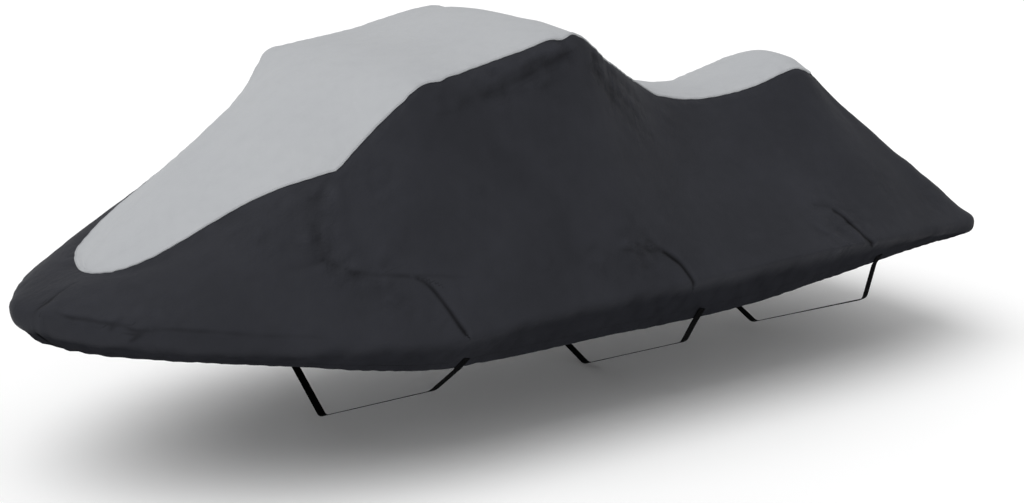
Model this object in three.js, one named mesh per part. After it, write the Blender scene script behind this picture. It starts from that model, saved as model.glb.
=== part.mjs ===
// Fitted cover for a small sit-on watercraft, shown drawn down over the handlebar and the long seat.
// A pale top panel runs from a rounded tongue at the bow, over the handlebar, to the back of the seat.
// Two dark side panels hang from its edges to a fold at deck level, turn in under it to the hem, and
// meet each other in a seam at the bow and another at the stern. Three webbing straps are sewn on just
// above the hem and pass underneath from one side to the other.
// Units are millimetres. +X points to the stern, +Y to starboard and +Z up. The cloth is worked out with
// z = 0 at the fold beside the seat, and the whole cover is then moved so that the origin lies on the
// underside of the cloth at the crest over the handlebar, where the cover rests.

import * as THREE from 'three';

const CLOTH_THICKNESS = 2;
const PANEL_GAP = 0.3;

// The main sizes of the fitted cover. The rib table below gives the shape between them.
const HALF_WIDTH = 600;
const BOW_X = -1470;
const STERN_X = 1602;
const SEAT_HEIGHT = 461;
const CREST = { x: 15, z: 674, crown: 14 };

// One row for each rib of the cloth, from the bow to the stern.
// steps: how many strips the cloth is divided in from this rib to the next, 0 at the last
// seam: the edge between the top panel and the side panel, as x, y outwards and z
// crown: how far the top panel stands above the seams at its middle
// shoulder: how far the rounding of the seam reaches down the side
// belly: how far the side stands out between the seam and the fold
// fold: where the side turns down at deck level
// rail: how far it drops before it turns in
// hem: where it ends
const RIB_COLUMNS = [
  'steps', 'seamX', 'seamY', 'seamZ', 'crown', 'shoulder', 'belly',
  'foldX', 'foldY', 'foldZ', 'rail', 'hemX', 'hemY', 'hemZ',
];
const RIBS = {
  stem: [4, -1280, 0, 130, 0, 20, 8, BOW_X, 0, 65, 55, -1430, 0, -30],
  nose: [3, -1253, 90, 139, 16, 45, 12, -1434, 129, 72, 60, -1395, 110, -36],
  fore: [3, -1163, 155, 172, 45, 70, 15, -1350, 245, 62, 60, -1315, 212, -45],
  hoodFront: [4, -1053, 210, 240, 52, 90, 18, -1215, 370, 52, 55, -1190, 325, -53],
  hoodMiddle: [3, -926, 252, 318, 52, 90, 15, -1050, 473, 35, 45, -1030, 420, -68],
  hoodBack: [3, -833, 292, 364, 72, 85, 10, -911, 531, 13, 33, -895, 478, -86],
  foot: [1, -752, 345, 388, 105, 60, 0, -790, 565, -7, 23, -780, 511, -105],
  kink: [3, -722, 350, 400, 115, 50, 0, -745, 575, -14, 20, -737, 520, -110],
  rise: [4, -625, 355, 480, 85, 45, 0, -660, 590, -30, 15, -655, 533, -122],
  mirror: [4, -535, 372, 568, 32, 45, 0, -545, HALF_WIDTH, -40, 10, -540, 541, -136],
  brow: [4, -450, 372, 595, 25, 45, 0, -455, HALF_WIDTH, -36, 10, -450, 541, -140],
  screen: [6, -290, 362, 614, 24, 50, 0, -290, HALF_WIDTH, -24, 10, -290, 541, -146],
  bar: [5, CREST.x, 350, CREST.z, CREST.crown, 40, 0, 0, HALF_WIDTH, -14, 10, 0, 541, -143],
  lean: [7, 185, 305, 577, 0, 35, -10, 190, HALF_WIDTH, -10, 10, 190, 541, -147],
  dash: [5, 430, 190, 457, 5, 40, -20, 420, HALF_WIDTH, -4, 10, 420, 541, -149],
  dip: [4, 650, 155, 396, 17, 40, -20, 650, HALF_WIDTH, 2, 10, 650, 540, -140],
  seat: [6, 857, 162, 408, 20, 40, -20, 880, 593, 0, 10, 890, 530, -120],
  seatBack: [6, 1030, 164, SEAT_HEIGHT, 22, 40, -15, 1140, 566, -12, 15, 1160, 502, -100],
  quarter: [4, 1100, 150, 440, 24, 40, -10, 1400, 515, -30, 25, 1380, 460, -102],
  corner: [4, 1130, 125, 425, 20, 35, -3, 1545, 465, -40, 35, 1505, 415, -108],
  transom: [4, 1165, 70, 400, 8, 30, 0, 1590, 240, -45, 35, 1545, 220, -112],
  tail: [0, 1175, 0, 395, 0, 20, 0, STERN_X, 0, -45, 35, 1553, 0, -112],
};
const ACROSS = ['seamY', 'foldY', 'hemY'];
const ALONG_STEP = 0.05;
const PLACE_STEP = 1e-6;

// How each rib is divided, from the middle of the top panel to the hem.
const TOP_STRIPS = 3;
const FLANK_STRIPS = 5;
const SKIRT_STRIPS = 2;
const ROUND_STEPS = [0.25, 0.5, 0.75];
const SHOULDER_REACH = { top: 0.6, side: 0.45 };
const FOLD_RADIUS = 14;
const RAIL_ROUNDING = 0.3;
const SEAM_COLUMN = TOP_STRIPS + 2;

// The main folds of the cloth on the sides, as seen from the side.
// width: half the width of the fold
// trough: how deep it is, on its path
// ridge: how high the cloth stands beside the path, on its left as the port side is seen
// start and end: the share of its full size at the two ends of the path
// path: the x and z of the points that it passes
const BOTH_SIDES = [-1, 1];
const PORT_SIDE = [-1];
const STARBOARD_SIDE = [1];
const FOLDS = [
  {
    sides: BOTH_SIDES, width: 22, trough: 7, ridge: 4, start: 0.1, end: 1,
    path: [[-640, 138], [-572, 60], [-512, -25]],
  },
  {
    sides: BOTH_SIDES, width: 22, trough: 6, ridge: 4, start: 0.1, end: 1,
    path: [[190, 86], [238, 38], [278, -12]],
  },
  {
    sides: BOTH_SIDES, width: 26, trough: 6, ridge: 4, start: 0.1, end: 1,
    path: [[880, 98], [965, 36], [1035, -30]],
  },
  {
    sides: BOTH_SIDES, width: 38, trough: 8, ridge: 5, start: 0.9, end: 0.3,
    path: [[-790, 385], [-858, 325], [-880, 262], [-858, 205], [-796, 170], [-700, 158]],
  },
  {
    sides: BOTH_SIDES, width: 24, trough: 6, ridge: 4, start: 0.2, end: 0.8,
    path: [[-420, 520], [-230, 566], [-30, 622]],
  },
  {
    sides: PORT_SIDE, width: 30, trough: 6, ridge: 4, start: 1, end: 0.1,
    path: [[60, 600], [150, 490], [290, 380]],
  },
  {
    sides: STARBOARD_SIDE, width: 30, trough: 6, ridge: 4, start: 1, end: 0.1,
    path: [[70, 600], [175, 500], [330, 400]],
  },
  {
    sides: PORT_SIDE, width: 40, trough: 5, ridge: 3, start: 0.2, end: 0.2,
    path: [[-330, 420], [-180, 250], [-120, 80]],
  },
  {
    sides: STARBOARD_SIDE, width: 40, trough: 5, ridge: 3, start: 0.2, end: 0.2,
    path: [[-400, 380], [-260, 230], [-190, 90]],
  },
];
const FOLD_SAMPLES = 24;
const RIDGE_PLACE = 1.5;

// The straps. Each is sewn on where its row says along the hem, and turns at the chine and at the keel.
// sewn: the length that lies on the cloth, from its end to the hem
// clear: the space between the strap and the cloth
// past: how far it runs straight on below the hem
// bend: how far each rounded turn reaches from its corner
const STRAP = { width: 25, thickness: 2, sewn: 40, clear: 0.5, past: 4, bend: 22 };
const BEND_STEPS = [0, 0.35, 0.65, 1];
const STRAPS = {
  tie_strap_front: { hemX: -500, chine: [-512, 449, -222], keel: [-585, -410] },
  tie_strap_middle: { hemX: 322, chine: [352, 462, -240], keel: [362, -432] },
  tie_strap_rear: { hemX: 1068, chine: [1066, 482, -226], keel: [1062, -420] },
};

const material = (color, roughness) => new THREE.MeshStandardMaterial({ color, roughness, metalness: 0 });
const topCloth = material('#b5b7ba', 0.85);
const sideCloth = material('#303136', 0.75);
const webbing = material('#151517', 0.7);

const vector = (x, y, z) => new THREE.Vector3(x, y, z);
const between = (a, b, t) => a.clone().lerp(b, t);
const direction = (from, to) => to.clone().sub(from).normalize();

const ribs = Object.values(RIBS).map(
  (row) => Object.fromEntries(RIB_COLUMNS.map((name, k) => [name, row[k]])),
);
const lastRib = ribs.length - 1;

// Gives a rib of the table. Past an end it is the mirror image of the rib as far inside.
function ribNumber(index) {
  if (index >= 0 && index <= lastRib) return ribs[index];
  const inside = ribs[index < 0 ? -index : 2 * lastRib - index];
  const sign = (name) => (ACROSS.includes(name) ? -1 : 1);
  return Object.fromEntries(Object.entries(inside).map(([name, value]) => [name, sign(name) * value]));
}

// A smooth curve through b at t = 0 and c at t = 1, with a and d as its neighbours.
function smooth(a, b, c, d, t) {
  const slope = c - a;
  const bend = 2 * a - 5 * b + 4 * c - d;
  const turn = 3 * b - a - 3 * c + d;
  return b + (slope * t + bend * t * t + turn * t * t * t) / 2;
}

// Works out the sizes of a rib at any place u along the table.
function sizesAt(u) {
  const index = Math.min(Math.floor(u), lastRib - 1);
  const four = [-1, 0, 1, 2].map((k) => ribNumber(index + k));
  const size = (name) => smooth(...four.map((rib) => rib[name]), u - index);
  return Object.fromEntries(RIB_COLUMNS.map((name) => [name, size(name)]));
}

// The corner points of a rib on the starboard side.
function cornersAt(u) {
  const size = sizesAt(u);
  const seam = vector(size.seamX, size.seamY, size.seamZ);
  const fold = vector(size.foldX, size.foldY, size.foldZ);
  const railFoot = fold.clone().setZ(size.foldZ - size.rail);
  const hem = vector(size.hemX, size.hemY, size.hemZ);
  return { size, seam, fold, railFoot, hem };
}

// The way along the cloth at a corner of the rib. At the two ends it is straight across.
function along(u, corner) {
  if (u <= ALONG_STEP) return vector(0, 1, 0);
  if (u >= lastRib - ALONG_STEP) return vector(0, -1, 0);
  return direction(cornersAt(u - ALONG_STEP)[corner], cornersAt(u + ALONG_STEP)[corner]);
}

function roundCorner(from, corner, to, t) {
  return new THREE.QuadraticBezierCurve3(from, corner, to).getPoint(t);
}

// The points of one rib on the starboard side, from the middle of the top panel to the hem.
function ribPoints(u) {
  const { size, seam, fold, railFoot, hem } = cornersAt(u);
  const chord = fold.clone().sub(seam);
  const reach = Math.min(size.shoulder, SHOULDER_REACH.side * chord.length());
  const topReach = Math.min(reach, SHOULDER_REACH.top * size.seamY);
  const outwards = chord.clone().cross(along(u, 'seam').add(along(u, 'fold'))).normalize().negate();
  const top = (y) => {
    const share = size.seamY > 0 ? y / size.seamY : 1;
    return vector(size.seamX, y, size.seamZ + size.crown * (1 - share * share));
  };
  const flank = (t) => {
    const bulge = 4 * size.belly * t * (1 - t);
    return seam.clone().addScaledVector(chord, t).addScaledVector(outwards, bulge);
  };

  const points = [];
  const topEnd = size.seamY - topReach;
  for (let k = 0; k <= TOP_STRIPS; k += 1) {
    points.push(top((topEnd * k) / TOP_STRIPS));
  }
  const flankStart = reach / chord.length();
  const flankEnd = 1 - FOLD_RADIUS / chord.length();
  ROUND_STEPS.forEach((t) => points.push(roundCorner(top(topEnd), seam, flank(flankStart), t)));
  for (let k = 0; k <= FLANK_STRIPS; k += 1) {
    points.push(flank(THREE.MathUtils.lerp(flankStart, flankEnd, k / FLANK_STRIPS)));
  }
  const railStart = between(fold, railFoot, RAIL_ROUNDING);
  const railEnd = between(railFoot, fold, RAIL_ROUNDING);
  const skirtStart = railFoot.clone().addScaledVector(direction(railFoot, hem), FOLD_RADIUS);
  points.push(roundCorner(flank(flankEnd), fold, railStart, 0.5), railStart, railEnd);
  points.push(roundCorner(railEnd, railFoot, skirtStart, 0.5));
  for (let k = 0; k <= SKIRT_STRIPS; k += 1) {
    points.push(between(skirtStart, hem, k / SKIRT_STRIPS));
  }
  return points;
}

// Where the strips between the ribs lie along the table.
function ribPlaces() {
  const places = [];
  ribs.slice(0, lastRib).forEach((rib, index) => {
    for (let k = 0; k < rib.steps; k += 1) {
      places.push(index + k / rib.steps);
    }
  });
  return [...places, lastRib];
}

// The cloth's outer face on one side, as rows of points. Side is -1 for port and 1 for starboard.
function outerFace(side) {
  return ribPlaces().map((u) => ribPoints(u).map((point) => vector(point.x, side * point.y, point.z)));
}

// The outward directions at the points of a face of one side. On the middle plane they lie in that plane,
// as the other side meets it there, and the points that fall together at a tip share one direction.
function outwardDirections(rows, side) {
  const sums = rows.map((row) => row.map(() => vector(0, 0, 0)));
  const add = (corners) => {
    const [a, b, c] = corners.map(([i, j]) => rows[i][j]);
    const area = b.clone().sub(a).cross(c.clone().sub(a)).multiplyScalar(side);
    corners.forEach(([i, j]) => sums[i][j].add(area));
  };
  for (let i = 0; i < rows.length - 1; i += 1) {
    for (let j = 0; j < rows[i].length - 1; j += 1) {
      add([[i, j], [i + 1, j], [i + 1, j + 1]]);
      add([[i, j], [i + 1, j + 1], [i, j + 1]]);
    }
  }
  [sums[0], sums.at(-1)].forEach((row) => {
    const tip = row.slice(0, SEAM_COLUMN + 1).reduce((sum, one) => sum.add(one), vector(0, 0, 0));
    row.slice(0, SEAM_COLUMN + 1).forEach((one) => one.copy(tip));
    row.forEach((one) => one.setY(0));
  });
  sums.forEach((row) => row[0].setY(0));
  return sums.map((row) => row.map((sum) => sum.normalize()));
}

// The height of one fold at a point of the side, from its nearest place on the fold's path.
function foldHeight(fold, point) {
  let nearest = { distance: Infinity };
  for (let k = 0; k < FOLD_SAMPLES; k += 1) {
    const [a, b] = [fold.samples[k], fold.samples[k + 1]];
    const leg = b.clone().sub(a);
    const t = THREE.MathUtils.clamp(point.clone().sub(a).dot(leg) / leg.lengthSq(), 0, 1);
    const offset = point.clone().sub(between(a, b, t));
    if (offset.length() < nearest.distance) {
      const right = Math.sign(offset.x * -leg.y + offset.y * leg.x) || 1;
      nearest = { distance: offset.length(), right: -right, share: (k + t) / FOLD_SAMPLES };
    }
  }
  const across = (nearest.distance * nearest.right) / fold.width;
  const size = THREE.MathUtils.lerp(fold.start, fold.end, nearest.share);
  const trough = fold.trough * Math.exp(-across * across);
  const ridge = fold.ridge * Math.exp(-((across + RIDGE_PLACE) ** 2));
  return size * (ridge - trough);
}

const folds = FOLDS.map((fold) => {
  const curve = new THREE.SplineCurve(fold.path.map(([x, z]) => new THREE.Vector2(x, z)));
  return { ...fold, samples: curve.getPoints(FOLD_SAMPLES) };
});

// Presses the folds into the side, from its seam down. The middle plane is left as it is.
function withFolds(rows, side) {
  const outwards = outwardDirections(rows, side);
  const ofSide = folds.filter((fold) => fold.sides.includes(side));
  return rows.map((row, i) => row.map((point, j) => {
    if (j < SEAM_COLUMN || i === 0 || i === rows.length - 1) return point;
    const seen = new THREE.Vector2(point.x, point.z);
    const height = ofSide.reduce((sum, fold) => sum + foldHeight(fold, seen), 0);
    return point.clone().addScaledVector(outwards[i][j], height);
  }));
}

// A sheet as one closed body between its outer face and its inner face, both as rows of points.
// Points of a row that fall together become one vertex.
function sheetGeometry(outer, inner, side) {
  const positions = [];
  const index = [];
  const numberFace = (rows) => rows.map((row) => {
    const isTip = row[0].distanceTo(row.at(-1)) < CLOTH_THICKNESS / 2;
    const numbers = [];
    row.forEach((point, j) => {
      if (!isTip || j === 0) positions.push(point.x, point.y, point.z);
      numbers.push(positions.length / 3 - 1);
    });
    return numbers;
  });
  const [out, into] = [numberFace(outer), numberFace(inner)];
  const triangle = (a, b, c) => {
    if (a === b || b === c || c === a) return;
    index.push(...(side > 0 ? [a, b, c] : [a, c, b]));
  };
  const quad = (a, b, c, d) => {
    triangle(a, b, c);
    triangle(a, c, d);
  };
  const [rows, columns] = [out.length - 1, out[0].length - 1];
  for (let i = 0; i < rows; i += 1) {
    for (let j = 0; j < columns; j += 1) {
      quad(out[i][j], out[i + 1][j], out[i + 1][j + 1], out[i][j + 1]);
      quad(into[i][j], into[i][j + 1], into[i + 1][j + 1], into[i + 1][j]);
    }
    quad(out[i][0], into[i][0], into[i + 1][0], out[i + 1][0]);
    quad(out[i][columns], out[i + 1][columns], into[i + 1][columns], into[i][columns]);
  }
  for (let j = 0; j < columns; j += 1) {
    quad(out[0][j], out[0][j + 1], into[0][j + 1], into[0][j]);
    quad(out[rows][j], into[rows][j], into[rows][j + 1], out[rows][j + 1]);
  }
  const geometry = new THREE.BufferGeometry();
  geometry.setAttribute('position', new THREE.Float32BufferAttribute(positions, 3));
  geometry.setIndex(index);
  geometry.computeVertexNormals();
  return geometry;
}

// Half the panel gap at each point of the seam, square to the seam and towards the hem.
function seamShifts(rows, outwards, side) {
  return rows.map((row, i) => {
    const before = (rows[i - 1] ?? [])[SEAM_COLUMN] ?? row[SEAM_COLUMN];
    const after = (rows[i + 1] ?? [])[SEAM_COLUMN] ?? row[SEAM_COLUMN];
    const tangent = direction(before, after);
    if (i === 0) tangent.set(0, side, 0);
    if (i === rows.length - 1) tangent.set(0, -side, 0);
    return tangent.cross(outwards[i][SEAM_COLUMN]).multiplyScalar((-side * PANEL_GAP) / 2);
  });
}

// Both faces of one side of the cloth, as rows of points, cut apart along the seam.
function clothSide(side) {
  const outer = withFolds(outerFace(side), side);
  const outwards = outwardDirections(outer, side);
  const inner = outer.map((row, i) => row.map(
    (point, j) => point.clone().addScaledVector(outwards[i][j], -CLOTH_THICKNESS),
  ));
  const shifts = seamShifts(outer, outwards, side);
  const topPart = (rows) => rows.map((row, i) => {
    const isTip = i === 0 || i === rows.length - 1;
    const part = row.slice(0, SEAM_COLUMN + 1).map((point) => point.clone());
    (isTip ? part : [part.at(-1)]).forEach((point) => point.sub(shifts[i]));
    return part;
  });
  const sidePart = (rows) => rows.map((row, i) => {
    const isSeam = i === 0 || i === rows.length - 1;
    const part = row.slice(SEAM_COLUMN).map((point) => point.clone());
    part[0].add(shifts[i]);
    part.forEach((point) => point.setY(isSeam ? (side * PANEL_GAP) / 2 : point.y));
    return part;
  });
  return {
    top: [outer, inner].map(topPart),
    panel: [outer, inner].map(sidePart),
  };
}

function panelMesh(name, cloth, side) {
  const [outer, inner] = cloth.panel;
  const mesh = new THREE.Mesh(sheetGeometry(outer, inner, side), sideCloth);
  mesh.name = name;
  return mesh;
}

// The top panel joins its two halves on the middle line.
function topPanelMesh(port, starboard) {
  const [outer, inner] = [0, 1].map((face) => port.top[face].map(
    (row, i) => [...row.slice(1).reverse(), ...starboard.top[face][i]],
  ));
  const mesh = new THREE.Mesh(sheetGeometry(outer, inner, 1), topCloth);
  mesh.name = 'top_panel';
  return mesh;
}

// Finds the place along the table where the hem has a given x.
function placeOfHem(x) {
  let [low, high] = [0, lastRib];
  while (high - low > PLACE_STEP) {
    const middle = (low + high) / 2;
    if (sizesAt(middle).hemX < x) low = middle;
    else high = middle;
  }
  return low;
}

// Half of a strap's middle line on the starboard side, from its sewn end to the keel, with the way
// across the strap at each point. It starts on the outer face of the turned-in cloth.
function strapHalf({ hemX, chine, keel }) {
  const u = placeOfHem(hemX);
  const { railFoot, hem } = cornersAt(u);
  const down = direction(railFoot, hem);
  const across = along(u, 'hem');
  const out = down.clone().cross(across).normalize().negate();
  const onHem = hem.clone().addScaledVector(out, STRAP.clear + STRAP.thickness / 2);
  const start = onHem.clone().addScaledVector(down, -STRAP.sewn);
  const end = onHem.clone().addScaledVector(down, STRAP.past);
  const turn = vector(...chine);
  const bottom = vector(keel[0], 0, keel[1]);
  const line = [start, onHem, end];
  const bendStart = turn.clone().addScaledVector(direction(turn, end), STRAP.bend);
  const bendEnd = turn.clone().addScaledVector(direction(turn, bottom), STRAP.bend);
  BEND_STEPS.forEach((t) => line.push(roundCorner(bendStart, turn, bendEnd, t)));
  const keelStart = bottom.clone().addScaledVector(direction(bottom, turn), STRAP.bend);
  line.push(keelStart, roundCorner(keelStart, bottom, vector(keelStart.x, -keelStart.y, keelStart.z), 0.5));
  return line.map((point) => {
    const share = Math.min(point.y / onHem.y, 1);
    return { point, across: vector(1, 0, 0).lerp(across, share) };
  });
}

// A strap as a flat strip from the port hem to the starboard hem.
function strapMesh(name, row) {
  const half = strapHalf(row);
  const mirror = ({ x, y, z }) => vector(x, -y, z);
  const mirrored = ({ point, across }) => ({ point: mirror(point), across: mirror(across) });
  const stations = [...half.slice(0, -1).map(mirrored), ...half.reverse()];
  const edges = stations.map(({ point, across }, i) => {
    const before = stations[Math.max(i - 1, 0)].point;
    const after = stations[Math.min(i + 1, stations.length - 1)].point;
    const tangent = direction(before, after);
    const level = across.clone().addScaledVector(tangent, -across.dot(tangent)).normalize();
    const down = tangent.clone().cross(level).normalize();
    return [-1, 1].map((face) => [-1, 1].map((edge) => point.clone()
      .addScaledVector(level, (edge * STRAP.width) / 2)
      .addScaledVector(down, (face * STRAP.thickness) / 2)));
  });
  const faces = [1, 0].map((face) => edges.map((station) => station[face]));
  const mesh = new THREE.Mesh(sheetGeometry(faces[0], faces[1], 1), webbing);
  mesh.name = name;
  return mesh;
}

const port = clothSide(-1);
const starboard = clothSide(1);
const group = new THREE.Group();
group.add(topPanelMesh(port, starboard));
group.add(panelMesh('side_panel_port', port, -1));
group.add(panelMesh('side_panel_starboard', starboard, 1));
Object.entries(STRAPS).forEach(([name, row]) => group.add(strapMesh(name, row)));
group.position.set(-CREST.x, 0, CLOTH_THICKNESS - CREST.z - CREST.crown);

export default group;
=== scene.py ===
"""Looks of a fitted personal watercraft cover, for Blender 4.5.

A pale grey top panel runs from a rounded tongue at the bow, over the crest of the hood, to the back of the
low hump behind it. Two charcoal side panels are sewn to its edges and hang to a fold where the cover is
widest, turn in under it and end in a drawn-up hem. Three webbing straps pass underneath from hem to hem.

Tables are in millimetres, with +X to the stern, +Y to starboard, +Z up and z = 0 at the fold amidships.
in_frame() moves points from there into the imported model's frame, in metres.
"""

import logging
from dataclasses import dataclass, field
from enum import Enum

import bpy
import numpy as np
from mathutils import Matrix, Vector


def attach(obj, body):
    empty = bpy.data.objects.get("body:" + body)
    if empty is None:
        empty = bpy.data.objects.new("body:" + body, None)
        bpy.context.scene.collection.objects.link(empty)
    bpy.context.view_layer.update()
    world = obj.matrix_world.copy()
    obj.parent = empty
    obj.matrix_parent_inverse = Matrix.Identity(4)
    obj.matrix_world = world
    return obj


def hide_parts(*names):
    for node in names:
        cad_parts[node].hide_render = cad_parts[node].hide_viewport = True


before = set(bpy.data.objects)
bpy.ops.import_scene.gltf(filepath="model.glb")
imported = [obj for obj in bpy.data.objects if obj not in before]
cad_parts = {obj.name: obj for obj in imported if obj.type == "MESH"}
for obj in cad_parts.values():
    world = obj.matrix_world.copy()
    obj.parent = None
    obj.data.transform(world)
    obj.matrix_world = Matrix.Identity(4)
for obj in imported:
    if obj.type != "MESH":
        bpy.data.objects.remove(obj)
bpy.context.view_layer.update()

Array = np.ndarray
Marks = dict[str, Array]
Table = tuple[tuple[float, float, float], ...]
log = logging.getLogger("cover")

MM = 0.001
REST_POINT = np.array([15.0, 0.0, 686.0])


class Side(Enum):
    """A side of the cover, with the sign of its y."""

    PORT = -1
    STARBOARD = 1


class Seen(Enum):
    """Which two coordinates a crease is drawn in."""

    FROM_SIDE = (0, 2)
    FROM_ABOVE = (0, 1)


BOTH = (Side.PORT, Side.STARBOARD)


# Small helpers.


def in_frame(points: Array) -> Array:
    """Moves points from the tables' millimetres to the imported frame's metres.

    Args:
        points: any array whose last axis is x, y, z in mm.

    Returns:
        (points - rest point) / 1000, in metres.
    """
    return (points - REST_POINT) * MM


def unit(vectors: Array) -> Array:
    """Vectors divided by their lengths; a vector of no length stays as it is."""
    length = np.linalg.norm(vectors, axis=-1, keepdims=True)
    return vectors / np.maximum(length, 1e-9)


def bezier(start: Array, corner: Array, end: Array, t: Array) -> Array:
    """Rounds a corner: (1 - t)^2 start + 2 t (1 - t) corner + t^2 end.

    Args:
        start, corner, end: one point for each rib, shaped (ribs, 3).
        t: shares of the way, shaped (columns,) or (ribs, columns).

    Returns:
        Points shaped (ribs, columns, 3).
    """
    t = np.broadcast_to(t, (len(start), np.shape(t)[-1]))[..., None]
    return (1 - t) ** 2 * start[:, None] + 2 * t * (1 - t) * corner[:, None] + t**2 * end[:, None]


def straight(start: Array, end: Array, t: Array) -> Array:
    """Points on the straight lines start + t (end - start), shaped (ribs, columns, 3)."""
    return bezier(start, (start + end) / 2, end, t)


def shares(count: int) -> Array:
    """Even shares of the way up to 1, without the 0."""
    return np.linspace(0, 1, count + 1)[1:]


def smoothstep(low: float, high: float, value: Array) -> Array:
    """0 below low, 1 above high and 3 s^2 - 2 s^3 between them."""
    s = np.clip((value - low) / (high - low), 0, 1)
    return s * s * (3 - 2 * s)


def bell(centre: float, spread: float, value: Array) -> Array:
    """exp(-((value - centre) / spread)^2), a soft bump of height 1."""
    return np.exp(-(((value - centre) / spread) ** 2))


def spots(table: Table, value: Array) -> Array:
    """Adds up soft bumps: height times a bell, for each centre, spread and height of the table."""
    return sum(height * bell(centre, spread, value) for centre, spread, height in table)


def ramps(table: Table, value: Array) -> Array:
    """Adds up soft steps: height times a smoothstep, for each start, end and height of the table."""
    return sum(height * smoothstep(start, end, value) for start, end, height in table)


def catmull_rom(a: Array, b: Array, c: Array, d: Array, t: Array) -> Array:
    """The smooth curve from b at t = 0 to c at t = 1, with a and d as its neighbours."""
    return b + (t * (c - a) + t**2 * (2 * a - 5 * b + 4 * c - d) + t**3 * (3 * b - a - 3 * c + d)) / 2


def run_length(points: Array, axis: int = 0) -> Array:
    """How far each point lies along its own line: the sum of the steps before it, from 0.

    Args:
        points: (..., 3) points in mm.
        axis: the axis that the lines follow.

    Returns:
        Lengths in mm, shaped as points without its last axis.
    """
    steps = np.linalg.norm(np.diff(points, axis=axis), axis=-1)
    start = np.zeros_like(np.take(steps, [0], axis=axis))
    return np.cumsum(np.concatenate([start, steps], axis=axis), axis=axis)


def sampled(run: Array, values: Array, places: Array) -> Array:
    """Reads (n, 3) values that are known at the lengths in run at other places along the same line."""
    return np.stack([np.interp(places, run, values[:, k]) for k in range(3)], -1)


def tube_cells(rows: int, columns: int) -> tuple[Array, Array]:
    """Numbers the points of a tube and joins its rings.

    Args:
        rows: how many rings.
        columns: how many points in each ring.

    Returns:
        The number of each point, shaped (rows, columns), and the four corners of each cell of the wall.
    """
    index = np.arange(rows * columns).reshape(rows, columns)
    ring = np.roll(index, -1, axis=1)
    return index, np.stack([index[:-1], index[1:], ring[1:], ring[:-1]], -1).reshape(-1, 4)


def per_metre(size: float) -> float:
    """The scale of a noise whose lumps are about size mm across: 1 over the size in metres."""
    return 1 / (size * MM)


def placed(name: str, data: bpy.types.ID) -> bpy.types.Object:
    """Puts data in the scene, as a new object.

    Args:
        name: of the object.
        data: its mesh, camera or light.

    Returns:
        The object.
    """
    thing = bpy.data.objects.new(name, data)
    bpy.context.scene.collection.objects.link(thing)
    return thing


def linear(hex_colour: str) -> tuple[float, float, float, float]:
    """Turns an sRGB hex colour to linear light.

    Args:
        hex_colour: such as "#b5b7ba".

    Returns:
        Red, green, blue and alpha. Each is c / 12.92 up to 0.04045, and ((c + 0.055) / 1.055)^2.4 above.
    """
    values = [int(hex_colour[k : k + 2], 16) / 255 for k in (1, 3, 5)]
    return tuple(c / 12.92 if c <= 0.04045 else ((c + 0.055) / 1.055) ** 2.4 for c in values) + (1.0,)


# The smooth form of the cover.


@dataclass(frozen=True)
class Rib:
    """The cloth at one place between the bow and the stern, on the starboard side."""

    seam: tuple[float, float, float]  # edge between the top panel and the side panel
    crown: float  # how far the top panel stands above the seams at its middle
    shoulder: float  # how far the rounding of the seam reaches down the side
    belly: float  # how far the side stands out between the seam and the fold
    fold: tuple[float, float, float]  # where the side turns down, at its widest
    rail: float  # how far it drops before it turns in
    hem: tuple[float, float, float]  # where it ends


RIBS = {
    "tip": Rib((-1280, 0, 130), 0, 20, 8, (-1470, 0, 65), 55, (-1430, 0, -30)),
    "nose": Rib((-1253, 90, 139), 16, 45, 12, (-1434, 129, 72), 60, (-1395, 110, -36)),
    "fore": Rib((-1163, 155, 172), 45, 70, 15, (-1350, 245, 62), 60, (-1315, 212, -45)),
    "hood front": Rib((-1053, 210, 240), 52, 90, 18, (-1215, 370, 52), 55, (-1190, 325, -53)),
    "hood middle": Rib((-926, 252, 318), 52, 90, 15, (-1050, 473, 35), 45, (-1030, 420, -68)),
    "hood back": Rib((-833, 292, 364), 72, 85, 10, (-911, 531, 13), 33, (-895, 478, -86)),
    "foot": Rib((-752, 345, 388), 105, 60, 0, (-790, 565, -7), 23, (-780, 511, -105)),
    "kink": Rib((-722, 350, 400), 115, 50, 0, (-745, 575, -14), 20, (-737, 520, -110)),
    "rise": Rib((-625, 355, 480), 85, 45, 0, (-660, 590, -30), 15, (-655, 533, -122)),
    "front corner": Rib((-535, 372, 568), 32, 45, 0, (-545, 600, -40), 10, (-540, 541, -136)),
    "brow": Rib((-450, 372, 595), 25, 45, 0, (-455, 600, -36), 10, (-450, 541, -140)),
    "hood side": Rib((-290, 362, 614), 24, 50, 0, (-290, 600, -24), 10, (-290, 541, -146)),
    "crest": Rib((15, 350, 674), 14, 40, 0, (0, 600, -14), 10, (0, 541, -143)),
    "hood rear": Rib((185, 305, 577), 0, 35, -10, (190, 600, -10), 10, (190, 541, -147)),
    "slope foot": Rib((430, 190, 457), 5, 52, -20, (420, 600, -4), 10, (420, 541, -149)),
    "saddle": Rib((650, 155, 396), 17, 40, -20, (650, 600, 2), 10, (650, 540, -140)),
    "hump": Rib((857, 162, 408), 20, 40, -20, (880, 593, 0), 10, (890, 530, -120)),
    "hump back": Rib((1030, 164, 461), 22, 58, -15, (1140, 566, -12), 15, (1160, 502, -100)),
    "quarter": Rib((1100, 150, 440), 24, 52, -10, (1400, 515, -30), 25, (1380, 460, -102)),
    "tail corner": Rib((1130, 125, 425), 20, 35, -3, (1545, 465, -40), 35, (1505, 415, -108)),
    "tail end": Rib((1165, 70, 400), 8, 30, 0, (1590, 240, -45), 35, (1545, 220, -112)),
    "tail": Rib((1175, 0, 395), 0, 20, 0, (1602, 0, -45), 35, (1553, 0, -112)),
}


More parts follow.
